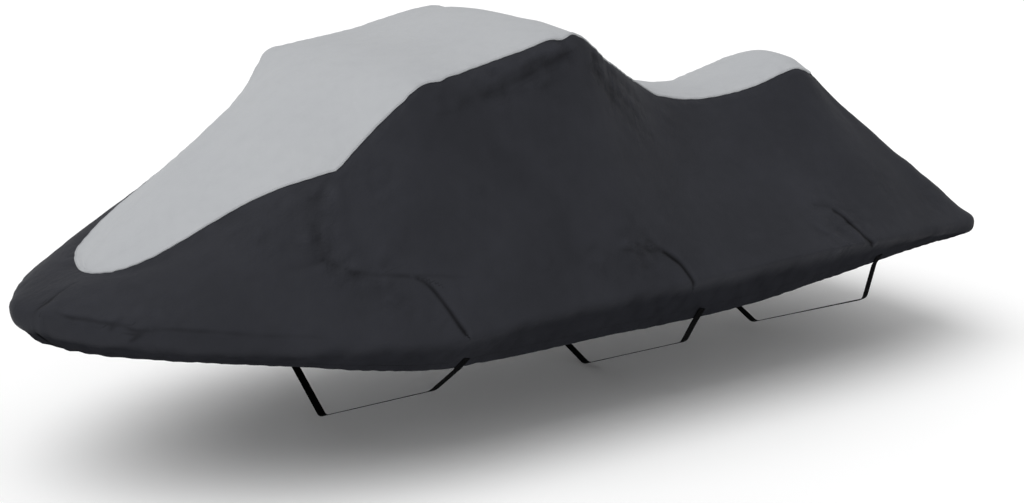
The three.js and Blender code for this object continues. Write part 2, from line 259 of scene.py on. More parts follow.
Y_COLUMNS = [1, 7, 11]  # where the y of seam, fold and hem stand among the 13 numbers of a rib


@dataclass
class RibCorners:
    """The sizes of the cloth at many places between the ribs, each as an array."""

    seam: Array
    crown: Array
    shoulder: Array
    belly: Array
    fold: Array
    rail_foot: Array
    hem: Array


@dataclass
class CoverForm:
    """The smooth outer face of the cover, worked out from its ribs."""

    ribs: dict[str, Rib] = field(default_factory=lambda: RIBS)
    step: float = 0.05  # half the way between the two places that give a direction
    samples: int = 4000
    blend: float = 60  # over how many mm the rows crowd together
    fold_share: float = 0.6  # how much the fold counts in the length along the cloth, against the seam

    def __post_init__(self) -> None:
        """Lays the ribs out as one table, with a mirror image of the next rib past each end."""
        rows = [
            [*r.seam, r.crown, r.shoulder, r.belly, *r.fold, r.rail, *r.hem] for r in self.ribs.values()
        ]
        self.last = len(rows) - 1
        table = np.array(rows, dtype=float)
        mirror = np.ones(table.shape[1])
        mirror[Y_COLUMNS] = -1
        self.table = np.vstack([table[1] * mirror, table, table[-2] * mirror])

    def corners(self, places: Array) -> RibCorners:
        """Works out the rib at each place, by a smooth curve through the four nearest ribs.

        Args:
            places: 0 at the first rib and self.last at the last; past them the mirror image is given.

        Returns:
            The corner points and sizes at the places.
        """
        folded = np.where(places > self.last, 2 * self.last - places, np.abs(places))
        flip = np.where((places < 0) | (places > self.last), -1.0, 1.0)[:, None]
        index = np.minimum(folded.astype(int), self.last - 1)
        row = catmull_rom(*(self.table[index + k] for k in range(4)), (folded - index)[:, None])
        row[:, Y_COLUMNS] *= flip
        fold = row[:, 6:9]
        rail_foot = fold - np.outer(row[:, 9], [0, 0, 1])
        return RibCorners(row[:, :3], row[:, 3], row[:, 4], row[:, 5], fold, rail_foot, row[:, 10:13])

    def along(self, places: Array, corner: str) -> Array:
        """The way along the cloth at a named corner, from the difference of two places close by."""
        ahead, behind = (getattr(self.corners(places + s), corner) for s in (self.step, -self.step))
        return unit(ahead - behind)

    def spread(self, count: int, closer: Table) -> Array:
        """Chooses the places of the rows: evenly by length along the cloth, closer where creases are fine.

        Args:
            count: how many rows.
            closer: for each crowded stretch, the x of its start and end on the fold and how much closer.

        Returns:
            The places, from 0 to self.last. The share of rows before a place is the sum before it of
            length times density.
        """
        places = np.linspace(0, self.last, self.samples)
        at = self.corners(places)
        length = self.fold_share * run_length(at.fold) + (1 - self.fold_share) * run_length(at.seam)
        x = at.fold[:, 0]
        density = 1.0 + sum(
            gain * smoothstep(a - self.blend, a, x) * (1 - smoothstep(b, b + self.blend, x))
            for a, b, gain in closer
        )
        sums = np.concatenate([[0], np.cumsum(np.diff(length) * (density[1:] + density[:-1]) / 2)])
        return np.interp(np.linspace(0, sums[-1], count), sums, places)

    def hem_place(self, x: float) -> float:
        """Finds the place whose hem has the given x."""
        places = np.linspace(0, self.last, self.samples)
        return float(np.interp(x, np.maximum.accumulate(self.corners(places).hem[:, 0]), places))


@dataclass
class Strips:
    """A grid of points on the cloth, a row for each rib place and a column for each line along it."""

    points: Array  # (rows, columns, 3), mm
    past_seam: Array  # distance past the seam towards the hem, mm
    skirt: Array  # 0 above the turned-in skirt, rising to 1 at the hem
    fold_shade: Array  # painted shade under the fold: 0 above it, rising to about 1 under it
    seam_run: Array  # length along the seam, mm
    hem_run: Array  # length along the hem, mm
    skirt_out: Array  # the outward direction of the skirt, one for each row


@dataclass
class Tailor:
    """Divides the smooth form into the strips of the top panel and of the side panels. Sizes are in mm."""

    form: CoverForm
    places: Array
    fold_radius: float = 14  # length of the skirt that rounds off its corner
    fold_start: float = 30  # how far above the fold the side starts to turn
    rail_rounding: float = 0.3  # share of the drop that is rounded at each end
    reach_top: float = 0.6  # most that the shoulder takes of the top panel's half width
    reach_side: float = 0.45  # and of the side
    most_shift: float = 0.42  # most that the seam may move up the shoulder, as a share of its length
    under_lap: float = 4  # how far the side panel runs in under the top panel
    under_share: float = 0.9  # most that it may take of the shoulder above the seam
    lap: float = 7.5  # how far the top panel's edge reaches past the seam
    hem_roll: float = 3  # radius of the turned hem
    hem_band: float = 18  # how far the cloth runs up again inside it
    top_columns: int = 20
    flank_columns: int = 67
    crowding: float = 0.35  # how much closer the side's columns lie towards the fold

    def __post_init__(self) -> None:
        """Works out the corners of every row once."""
        self.at = self.form.corners(self.places)
        at = self.at
        self.chord = at.fold - at.seam
        self.chord_length = np.linalg.norm(self.chord, axis=1)
        self.reach = np.minimum(at.shoulder, self.reach_side * self.chord_length)
        self.top_reach = np.minimum(self.reach, self.reach_top * at.seam[:, 1])
        ways = self.form.along(self.places, "seam") + self.form.along(self.places, "fold")
        self.belly_way = unit(-np.cross(self.chord, ways))
        self.down = unit(at.hem - at.rail_foot)
        self.skirt_out = unit(-np.cross(self.down, self.form.along(self.places, "hem")))
        x, rise = np.array(HEM_RISE, dtype=float).T
        at.hem = at.hem - self.down * np.interp(at.hem[:, 0], x, rise)[:, None]
        self.shoulder_ends = (self.top(np.ones(1))[:, 0], self.flank(np.zeros(1))[:, 0])
        self.slope = np.linalg.norm(self.shoulder_ends[1] - self.shoulder_ends[0], axis=1)

    def top(self, t: Array) -> Array:
        """The crown of the top panel: z falls with the square of y, from the middle to the shoulder.

        Args:
            t: shares of the way from the middle to the shoulder.

        Returns:
            Points shaped (rows, columns, 3).
        """
        at = self.at
        y = (at.seam[:, 1] - self.top_reach)[:, None] * t
        share = np.where(at.seam[:, 1:2] > 0, y / np.maximum(at.seam[:, 1:2], 1e-6), 1.0)
        z = at.seam[:, 2:3] + at.crown[:, None] * (1 - share**2)
        return np.stack([np.broadcast_to(at.seam[:, 0:1], y.shape), y, z], -1)

    def flank(self, t: Array) -> Array:
        """The side between shoulder and fold: the chord, and a bulge of 4 belly s (1 - s) outwards.

        Args:
            t: shares of the way from the shoulder to the fold.

        Returns:
            Points shaped (rows, columns, 3).
        """
        start = (self.reach / self.chord_length)[:, None]
        end = 1 - (self.fold_start / self.chord_length)[:, None]
        s = (start + (end - start) * t)[..., None]
        bulge = 4 * self.at.belly[:, None, None] * s * (1 - s)
        return self.at.seam[:, None] + self.chord[:, None] * s + self.belly_way[:, None] * bulge

    def shoulder(self, past: Array) -> Array:
        """The rounded shoulder, at distances past the seam, which lies at the middle of its curve."""
        t = np.clip(0.5 + past / np.maximum(self.slope, 1e-6)[:, None], 0, 1)
        return bezier(self.shoulder_ends[0], self.at.seam, self.shoulder_ends[1], t)

    def seam_cut(self, side: Side) -> Array:
        """How far past the smooth seam the cloth is cut, rounded off over three rows.

        Args:
            side: the side whose line in SEAM_LINES is followed.

        Returns:
            Distances in mm, shaped (rows, 1).
        """
        x, shift = np.array(SEAM_LINES[side], dtype=float).T
        cut = np.interp(self.at.seam[:, 0], x, shift) - self.lap
        rounded = np.convolve(np.pad(cut, 1, mode="edge"), [0.25, 0.5, 0.25], mode="valid")
        return np.maximum(rounded, -self.most_shift * self.slope)[:, None]

    def _strips(self, points: Array, seam_column: int, skirt: Array, fold_shade: Array) -> Strips:
        """Adds the lengths that creases, gathers and patterns follow.

        Args:
            points: the grid, in mm.
            seam_column: the column that follows the seam.
            skirt, tuck: how far each point lies in the skirt and under the fold.

        Returns:
            The strips.
        """
        across = run_length(points, axis=1)
        seam_run = run_length(self.shoulder(np.zeros((1, 1)))[:, 0])
        hem_run = run_length(self.at.hem)
        rows = np.ones(points.shape[:2])
        return Strips(
            points,
            across - across[:, seam_column : seam_column + 1],
            np.broadcast_to(skirt, points.shape[:2]),
            np.broadcast_to(fold_shade, points.shape[:2]),
            seam_run[:, None] * rows,
            hem_run[:, None] * rows,
            self.skirt_out,
        )

    def top_half(self, side: Side) -> Strips:
        """Lays out half of the top panel, from its middle to its edge, which laps over the side panel.

        Args:
            side: the half to lay out, on the starboard side either way.

        Returns:
            The strips.
        """
        half, cut = self.slope[:, None] / 2, self.seam_cut(side)
        lap = self.lap * shares(5)
        blocks = [
            self.top(np.linspace(0, 1, self.top_columns)),
            self.shoulder(-half + (cut + half) * shares(8)),
            self.shoulder(cut + lap),
        ]
        points = np.concatenate(blocks, axis=1)
        return self._strips(points, points.shape[1] - 1 - len(lap), np.zeros(1), np.zeros(1))

    def side_half(self, side: Side) -> Strips:
        """Lays out a side panel, from its edge under the top panel to the turned-up band inside the hem.

        Args:
            side: the side whose seam is followed; the panel lies on the starboard side either way.

        Returns:
            The strips.
        """
        at, down = self.at, self.down
        inwards = -self.skirt_out
        half, cut = self.slope[:, None] / 2, self.seam_cut(side)
        lead = np.maximum(cut - self.under_lap, -self.under_share * half)
        rail_start = at.fold + self.rail_rounding * (at.rail_foot - at.fold)
        rail_end = at.rail_foot + self.rail_rounding * (at.fold - at.rail_foot)
        skirt_start = at.rail_foot + down * self.fold_radius
        roll_start = at.hem - down * self.hem_roll
        w = shares(self.flank_columns)
        angle = np.linspace(0, np.pi, 7)[None, 1:, None]
        roll_centre = (roll_start + inwards * self.hem_roll)[:, None]
        roll = roll_centre + self.hem_roll * (
            down[:, None] * np.sin(angle) - inwards[:, None] * np.cos(angle)
        )
        band_end = roll[:, -1] - down * self.hem_band
        blocks = [
            self.shoulder(lead + (cut - lead) * np.linspace(0, 1, 3)),
            self.shoulder(cut + (half - cut) * shares(10)),
            self.flank(w + self.crowding * w * (1 - w)),
            bezier(self.flank(np.ones(1))[:, 0], at.fold, rail_start, shares(5)),
            straight(rail_start, rail_end, shares(2)),
            bezier(rail_end, at.rail_foot, skirt_start, shares(4)),
            straight(skirt_start, roll_start, shares(10)),
            roll,
            straight(roll[:, -1], band_end, shares(3)),
        ]
        points = np.concatenate(blocks, axis=1)
        above, hem = (sum(block.shape[1] for block in blocks[:k]) for k in (6, 7))
        skirt = np.concatenate([np.zeros(above), shares(hem - above), np.ones(points.shape[1] - hem)])
        across = run_length(points, axis=1)
        under = across - across[:, above - 3, None]  # from the middle of the rounding into the skirt
        # painted shade under the fold, which also sets how crumpled the cloth is there
        fold_shade = FoldShade().at(under, at.hem[:, :1], points)
        self.stitch_column = hem - 4  # a little above the hem
        return self._strips(points, 2, skirt, fold_shade)


# Where the seam runs, as x and the distance towards the hem from the smooth form's seam, in mm.
SEAM_LINES = {
    Side.PORT: (
        (-1285, 6), (-1240, 9), (-1200, 9), (-1142, 4), (-1084, 0), (-1030, -5), (-969, -3), (-912, 2),
        (-869, 7), (-826, 10), (-798, 9), (-765, 4), (-730, 5), (-713, 4), (-685, 0), (-613, -1), (-585, 3),
        (-542, 9), (-528, 4), (-514, 3.5), (-485, -3.5), (-457, -2.5), (-428, 5), (-405, -4), (-370, -5),
        (-313, -11), (-239, -9), (-151, -2), (-122, -1), (-63, -4), (-48, 0.5), (-18, 10), (-4, 7),
        (11, 0), (25, -4.5), (45, 0), (110, 4), (200, 1), (345, -3), (405, 1), (433, 16), (448, 19),
        (476, 15), (520, 8), (609, 3.5), (740, -2.5), (856, -3.5), (926, 0), (984, 4.5), (1035, 10),
        (1060, 19), (1085, 22), (1113, 14), (1175, 0),
    ),
    Side.STARBOARD: (
        (-1285, 6), (-1268, 5), (-1245, 12), (-1200, 34), (-1163, 44), (-1100, 46), (-1053, 38), (-980, 20),
        (-926, 8), (-826, 5), (-722, 0), (-613, -3), (-535, 4), (-470, -5), (-300, -9), (-120, -3), (-15, 7),
        (25, -5), (110, 2), (430, 4), (740, -4), (1060, 9), (1175, 0),
    ),
}

# How far the hem is drawn up, as x and mm.
HEM_RISE = (
    (-1430, 0), (-1336, 0), (-1248, 7), (-1145, 10), (-924, 12), (-662, 3), (-500, 4), (-309, 6), (0, 3),
    (119, 3), (320, 5), (493, 9), (570, 9), (671, 12), (775, 13), (882, 9), (998, 6), (1118, 2), (1246, 0),
    (1500, 3),
)


# What lifts and sinks the cloth.


@dataclass(frozen=True)
class Crease:
    """One crease, as a soft trough along a smooth path, with a ridge on the left of it as it is drawn."""

    path: tuple[tuple[float, float], ...]
    width: float  # half the width of the trough
    depth: float
    ridge: float = 0.0
    start: float = 0.0  # share of its full size at the two ends
    end: float = 1.0
    line: float = 0.0  # how strongly its bottom shows as a sharp line, drawn as a bump and a painted dark shade
    crisp: float = 0.2  # 1 for an even pressed line, 0 for one that wanders and falters
    sides: tuple[Side, ...] = BOTH
    seen: Seen = Seen.FROM_SIDE
    samples: int = 24
    ridge_place: float = 1.5  # how far from the bottom the ridge stands, in widths
    faded_in: float = 0.12  # share of the path that it takes to rise from nothing
    fades_out: float = 0.93  # share of the path where it starts to fall, unless it ends in full

    def smooth_path(self) -> Array:
        """Works out the smooth curve through the path's points.

        Returns:
            The ends of its short legs, shaped (samples + 1, 2).
        """
        points = np.array(self.path, dtype=float)
        padded = np.vstack([points[:1], points, points[-1:]])
        place = np.linspace(0, len(points) - 1, self.samples + 1)
        index = np.minimum(place.astype(int), len(points) - 2)
        return catmull_rom(*(padded[index + k] for k in range(4)), (place - index)[:, None])

    def measure(self, points: Array) -> tuple[Array, Array]:
        """Measures points against the path.

        Args:
            points: (..., 3) points in mm.

        Returns:
            The signed distance from the nearest leg, positive on the right of it, and the share of the
            crease's full size there.
        """
        flat = points[..., list(self.seen.value)]
        line = self.smooth_path()
        nearest = np.full(flat.shape[:-1], np.inf)
        signed, share = np.zeros_like(nearest), np.zeros_like(nearest)
        for k, (a, leg) in enumerate(zip(line[:-1], np.diff(line, axis=0))):
            t = np.clip((flat - a) @ leg / (leg @ leg), 0, 1)
            offset = flat - (a + t[..., None] * leg)
            distance = np.linalg.norm(offset, axis=-1)
            right = np.where(offset[..., 0] * leg[1] - offset[..., 1] * leg[0] >= 0, 1.0, -1.0)
            closer = distance < nearest
            nearest = np.where(closer, distance, nearest)
            signed = np.where(closer, distance * right, signed)
            share = np.where(closer, (k + t) / self.samples, share)
        size = self.start + (self.end - self.start) * share
        falling = smoothstep(self.fades_out, 1.001, share) * (1 - self.end)
        taper = smoothstep(-0.001, self.faded_in, share) * (1 - falling)
        return signed, size * np.maximum(taper, 0.0)

    def height(self, signed: Array, size: Array) -> Array:
        """size (ridge exp(-(a + ridge place)^2) - depth exp(-a^2)), where a is the distance in widths."""
        a = signed / self.width
        return size * (self.ridge * bell(-self.ridge_place, 1, a) - self.depth * bell(0, 1, a))


@dataclass(frozen=True)
class Swell:
    """A broad bump, or a dent where its height is negative."""

    centre: tuple[float, float, float]
    radius: float
    height: float

    def at(self, points: Array) -> Array:
        """height exp(-(distance from the centre / radius)^2), for (..., 3) points in mm."""
        distance = np.linalg.norm(points - np.array(self.centre, dtype=float), axis=-1)
        return self.height * bell(0, self.radius, distance)


@dataclass(frozen=True)
class SlowWaves:
    """Slow unevenness of the cloth: a seeded sum of plane waves in all directions."""

    seed: int
    count: int
    shortest: float
    longest: float
    height: float

    def at(self, points: Array) -> Array:
        """height times the sum of sin(k . p + phase), over the square root of the count.

        Args:
            points: (..., 3) points in mm.

        Returns:
            Heights in mm.
        """
        rng = np.random.default_rng(self.seed)
        way = unit(rng.normal(size=(self.count, 3)))
        number = way * (2 * np.pi / rng.uniform(self.shortest, self.longest, self.count))[:, None]
        phase = rng.uniform(0, 2 * np.pi, self.count)
        return self.height * np.sin(points @ number.T + phase).sum(-1) / np.sqrt(self.count)


@dataclass(frozen=True)
class Ripple:
    """Small waves of uneven length along a seam or a hem. Sizes are in mm."""

    height: float
    higher: Table  # x, spread and height of the places where they are higher
    length: float
    drift: Table  # size of each slow drift of the phase, with the length and the shift of its sine

    def at(self, run: Array, x: Array) -> Array:
        """(height + higher) sin(2 pi run / length + drift), where drift sums size sin(run / length + shift).

        Args:
            run: length along the seam or the hem.
            x: x of the points.

        Returns:
            Heights in mm.
        """
        drift = sum(size * np.sin(run / length + shift) for size, length, shift in self.drift)
        return (self.height + spots(self.higher, x)) * np.sin(2 * np.pi * run / self.length + drift)


@dataclass(frozen=True)
class FoldShade:
    """How far the cloth is tucked in under the fold, for the painted shade that its finish puts there. Sizes
    are in mm.

    The ramps and spots of a size, along x, add to it.
    """

    early: float = 12  # how far before the end of the fold it starts
    early_ramps: Table = ((1120, 1330, 22), (-1100, -700, 10))
    early_spots: Table = ((-560, 260, 8), (430, 230, -13))
    soft: float = 26  # how far past the end of the fold it is full
    soft_spots: Table = ((850, 330, 26), (430, 230, 16))
    deep_ramps: Table = ((1150, 1350, 0.2),)
    deep_spots: Table = ((-1450, 130, 0.25), (-500, 260, -0.1))
    waves: SlowWaves = SlowWaves(seed=41, count=12, shortest=50, longest=150, height=4.5)

    def at(self, under: Array, x: Array, points: Array) -> Array:
        """A smoothstep down the cloth, from early before the end of the fold to soft past it.

        Args:
            under: length past the end of the fold, shaped (rows, columns).
            x: x of the hem at each row, shaped (rows, 1).
            points: the grid.

        Returns:
            0 above the fold, and about 1 below it.
        """
        early = self.early + ramps(self.early_ramps, x) + spots(self.early_spots, x)
        soft = self.soft + spots(self.soft_spots, x)
        full = 1 + spots(self.deep_spots, x) + ramps(self.deep_ramps, x)
        return full * smoothstep(0, 1, (under + self.waves.at(points) + early) / (early + soft))


@dataclass(frozen=True)
class Crumples:
    """Small soft creases in all directions, where the cloth is pushed together."""

    lines: SlowWaves = SlowWaves(seed=21, count=16, shortest=60, longest=140, height=2**0.5)
    lumps: SlowWaves = SlowWaves(seed=22, count=20, shortest=28, longest=70, height=1.25)
    narrow: float = 0.55  # how wide a trough is, in heights of the waves
    depth: float = 2.0
    everywhere: float = 0.16  # how crumpled the cloth is: everywhere, along the seam and under the fold
    by_seam: float = 0.45
    by_fold: float = 0.5
    seam_band: tuple[float, float] = (14, 34)  # middle and spread of the crumpled band past the seam
    side_from: tuple[float, float] = (-2, 10)  # distances past the seam between which the places set in

    def amount(self, strips: Strips, places: tuple[tuple[float, float, float, float], ...]) -> Array:
        """How crumpled the cloth is, from 0 to 1.

        Args:
            strips: the smooth grid.
            places: x, z, reach and amount of each crumpled place of the side.

        Returns:
            The largest of everywhere, by_seam at the seam, by_fold in the skirt, and each place's bell.
        """
        x, z = strips.points[..., 0], strips.points[..., 2]
        found = np.full(x.shape, self.everywhere)
        found = np.maximum(found, self.by_seam * bell(*self.seam_band, strips.past_seam))
        found = np.maximum(found, self.by_fold * strips.fold_shade)
        below_seam = smoothstep(*self.side_from, strips.past_seam)
        for middle_x, middle_z, reach, most in places:
            away = np.hypot(x - middle_x, z - middle_z)
            found = np.maximum(found, most * bell(0, reach, away) * below_seam)
        return found

    def at(self, points: Array) -> Array:
        """Lumps - depth exp(-(s / narrow)^2): a trough wherever the sum of waves s passes through 0."""
        return self.lumps.at(points) - self.depth * bell(0, self.narrow, self.lines.at(points))


CREASES = (
    # the three darts above the straps: path, width, depth, ridge, start, end, line, crisp
    Crease(((-624, 129), (-599, 114), (-577, 93), (-556, 62), (-536, 25), (-519, -8), (-508, -27)),
           7.5, 4.5, 2.2, 0.35, 0.8, 1.0, 0.75),
    Crease(((183, 79), (208, 60), (235, 36), (250, 8), (260, -21)), 7.5, 4.5, 2.2, 0.7, 0.7, 1.0, 0.75),
    Crease(((902, 83), (925, 64), (942, 37), (958, 8), (980, -17)), 7.5, 4.5, 2.2, 0.6, 0.8, 1.0, 0.75),
    # a light line forward of the first dart's top, and crumples beside the tops of the other two
    Crease(((-622, 125), (-550, 120), (-462, 104)), 7, 1.4, 0.6, 0.8, 0.1, 0.25, 0.6),
    Crease(((-780, 152), (-700, 139), (-622, 126)), 6, 1.2, 0.6, 0.6, 0.9, 0.25, 0.6),
    Crease(((18, 108), (60, 101), (102, 82)), 10, 2.6, 1.5, 0.3, 0.6, 0.3),
    Crease(((88, 113), (130, 91), (178, 84)), 10, 2.8, 1.5, 0.5, 0.8, 0.35),
    Crease(((122, 98), (150, 113), (183, 79)), 8, 2.2, 1.0, 0.4, 0.8, 0.3),
    Crease(((770, 62), (800, 48), (830, 20)), 11, 2.6, 1.2, 0.3, 0.5, 0.15),
    Crease(((840, 96), (872, 92), (902, 83)), 10, 2.0, 1.2, 0.3, 0.8, 0.2),
    # round the foot of the hood
    Crease(((-770, 385), (-820, 318), (-840, 255), (-834, 200), (-780, 150), (-690, 110)),
           28, 2.1, 0.6, 0.8, 0.2),
    Crease(((-738, 392), (-796, 330), (-828, 263), (-833, 225), (-815, 185), (-765, 140), (-700, 102)),
           13, 1.5, 1.2, 0.8, 0.3, 0.08),
    Crease(((-770, 365), (-805, 290), (-806, 225)), 9, 1.4, 0.8, 0.4, 0.2, 0.1),
    Crease(((-838, 190), (-804, 168), (-755, 144)), 10, 1.6, 1.4, 0.8, 0.6, 0.25, 0.8),
    Crease(((-828, 190), (-870, 178), (-930, 176)), 12, 2.0, 1.0, 0.8, 0.1, 0.1),
    Crease(((-700, 150), (-640, 190), (-600, 240)), 16, 2.2, 1.4, 0.7, 0.1, 0.08),
    # from the hood's front corner to its crest
    Crease(((-420, 520), (-230, 566), (-30, 622)), 22, 5, 3, 0.2, 0.8),
    Crease(((-320, 540), (-184, 568), (-100, 598), (-12, 626)), 12, 4.0, 3.0, 0.3, 0.8, 0.25),
    Crease(((-300, 556), (-200, 585), (-90, 620)), 9, 2.0, 2.0, 0.4, 0.6, 0.15),
    Crease(((-330, 532), (-194, 539), (-77, 555)), 14, 3.0, 1.8, 0.3, 0.5, 0.15),
    Crease(((-470, 505), (-400, 515), (-330, 545)), 12, 2.4, 1.6, 0.3, 0.4, 0.15),
    # down the back of the hood
    Crease(((60, 600), (150, 490), (290, 380)), 24, 4.5, 1.5, 1, 0.1, 0.0, 0.2, (Side.PORT,)),
    Crease(((70, 600), (175, 500), (330, 400)), 24, 5, 4, 1, 0.1, 0.0, 0.2, (Side.STARBOARD,)),
    Crease(((72, 618), (150, 566), (230, 509), (323, 433)), 11, 3.4, 1.3, 0.8, 0.2, 0.3),
    Crease(((90, 577), (166, 499), (243, 443), (283, 401)), 10, 3.0, 1.2, 0.7, 0.2, 0.25),
    Crease(((96, 539), (188, 445), (313, 349), (369, 301)), 13, 2.6, 1.0, 0.6, 0.1, 0.15),
    # the middle of the side
    Crease(((-330, 420), (-180, 250), (-120, 80)), 40, 5, 3, 0.2, 0.2, 0, 0.2, (Side.PORT,)),
    Crease(((-400, 380), (-260, 230), (-190, 90)), 40, 5, 3, 0.2, 0.2, 0, 0.2, (Side.STARBOARD,)),
    # round the bow
    Crease(((-1429, 70), (-1397, 67), (-1324, 58), (-1285, 44), (-1216, 51), (-1090, 39), (-879, 12)),
           5, 1.4, 1.2, 0.9, 0.2, 0.5, 0.4),
    Crease(((-1457, 70), (-1423, 81), (-1380, 72), (-1335, 68)), 9, 2.4, 1.6, 0.9, 0.4, 0.6, 0.5,
           (Side.PORT,), Seen.FROM_ABOVE),
    Crease(((-1345, 44), (-1322, 60), (-1300, 76)), 7, 2.2, 1.2, 0.8, 0.2, 0.4, 0.3),
    Crease(((-1305, 18), (-1284, 36), (-1262, 54)), 7, 2.0, 1.2, 0.8, 0.2, 0.35, 0.3),
)

# Broad bumps and dents, as x, y, z of the middle, radius and height in mm.
SWELLS = tuple(Swell(row[:3], *row[3:]) for row in (
    # the far side of the hood: slacker than the near one, with a firmer front corner
    (-1000, 290, 240, 230, -4), (-750, 318, 405, 80, -11), (-664, 327, 457, 60, -6), (-884, 262, 334, 90, -4),
    (-610, 352, 495, 55, -5), (-575, 358, 525, 26, 3), (-560, 360, 538, 30, -5), (-535, 360, 566, 42, 9),
    (-445, 335, 600, 60, -4), (-300, 335, 616, 55, 3),
    # the crest
    (-60, 320, 665, 130, -7), (20, 250, 680, 120, -5), (15, 300, 676, 40, -4), (36, -60, 683, 230, -3.5),
    (38, -175, 680, 50, 3), (42, -300, 673, 28, -2.5), (100, -325, 632, 28, -2.5),
    # the low hump
    (930, 155, 428, 120, -9), (740, 60, 405, 110, -6), (790, 150, 400, 75, -8), (800, 138, 402, 45, -3),
    (600, 85, 414, 45, 3), (1020, 135, 460, 75, -13), (1045, 85, 478, 75, -4), (1086, -115, 458, 36, 4),
    (1210, -195, 330, 130, -8), (1340, -300, 180, 90, -4), (1392, -330, 132, 42, 4.5),
    # the ends of the crest
    (24, -352, 668, 26, 4), (24, 352, 668, 30, 4), (-22, -360, 664, 20, -3),
    # a slack place before the third strap
    (880, -568, -15, 55, -4),
    # the two corners of the stern, and the bow
    (1552, -463, -60, 50, 11), (1548, -472, -48, 24, 4), (1545, 463, -50, 65, 10), (1450, -385, 60, 75, 5),
    (-1425, 120, 78, 70, -7), (-1380, 190, 76, 42, -5), (-1472, 0, 48, 40, 9), (-1478, 0, 36, 28, 4),
    (-1466, 48, 52, 34, 7), (-1452, 0, -10, 45, -5), (-1442, -25, -30, 24, 5),
))

# Where the side is crumpled: x and z of the middle, reach in mm, and how much.
CRUMPLED = (
    (-981, 249, 70, 0.6), (-891, 310, 60, 0.5), (-795, 319, 55, 0.9), (-831, 232, 55, 0.9),
    (-790, 159, 60, 0.8), (-705, 102, 60, 0.55), (-640, 360, 90, 0.45), (-430, 535, 70, 0.5),
    (-265, 560, 80, 0.8), (-120, 590, 80, 0.9), (-30, 630, 60, 1.0), (110, 570, 60, 1.0),
    (180, 500, 70, 1.0), (270, 420, 80, 0.9), (330, 350, 60, 0.5), (-385, 315, 60, 0.4),
    (-424, 255, 50, 0.4), (-44, 83, 60, 0.7), (101, 90, 80, 1.0), (-206, 105, 50, 0.5),
    (-319, 109, 40, 0.3), (-684, 77, 60, 0.6), (-741, 109, 50, 0.5), (-590, 30, 60, 0.5),
    (-1380, 85, 90, 0.4), (-1250, 60, 120, 0.4), (905, 25, 110, 0.8), (1384, 50, 90, 0.5),
    (1169, 122, 80, 0.4), (450, 370, 60, 0.5), (455, 240, 80, 0.3),
)

SLOW_WAVES = (
    SlowWaves(seed=11, count=14, shortest=260, longest=700, height=1.8),
    SlowWaves(seed=12, count=18, shortest=90, longest=210, height=0.35),
)


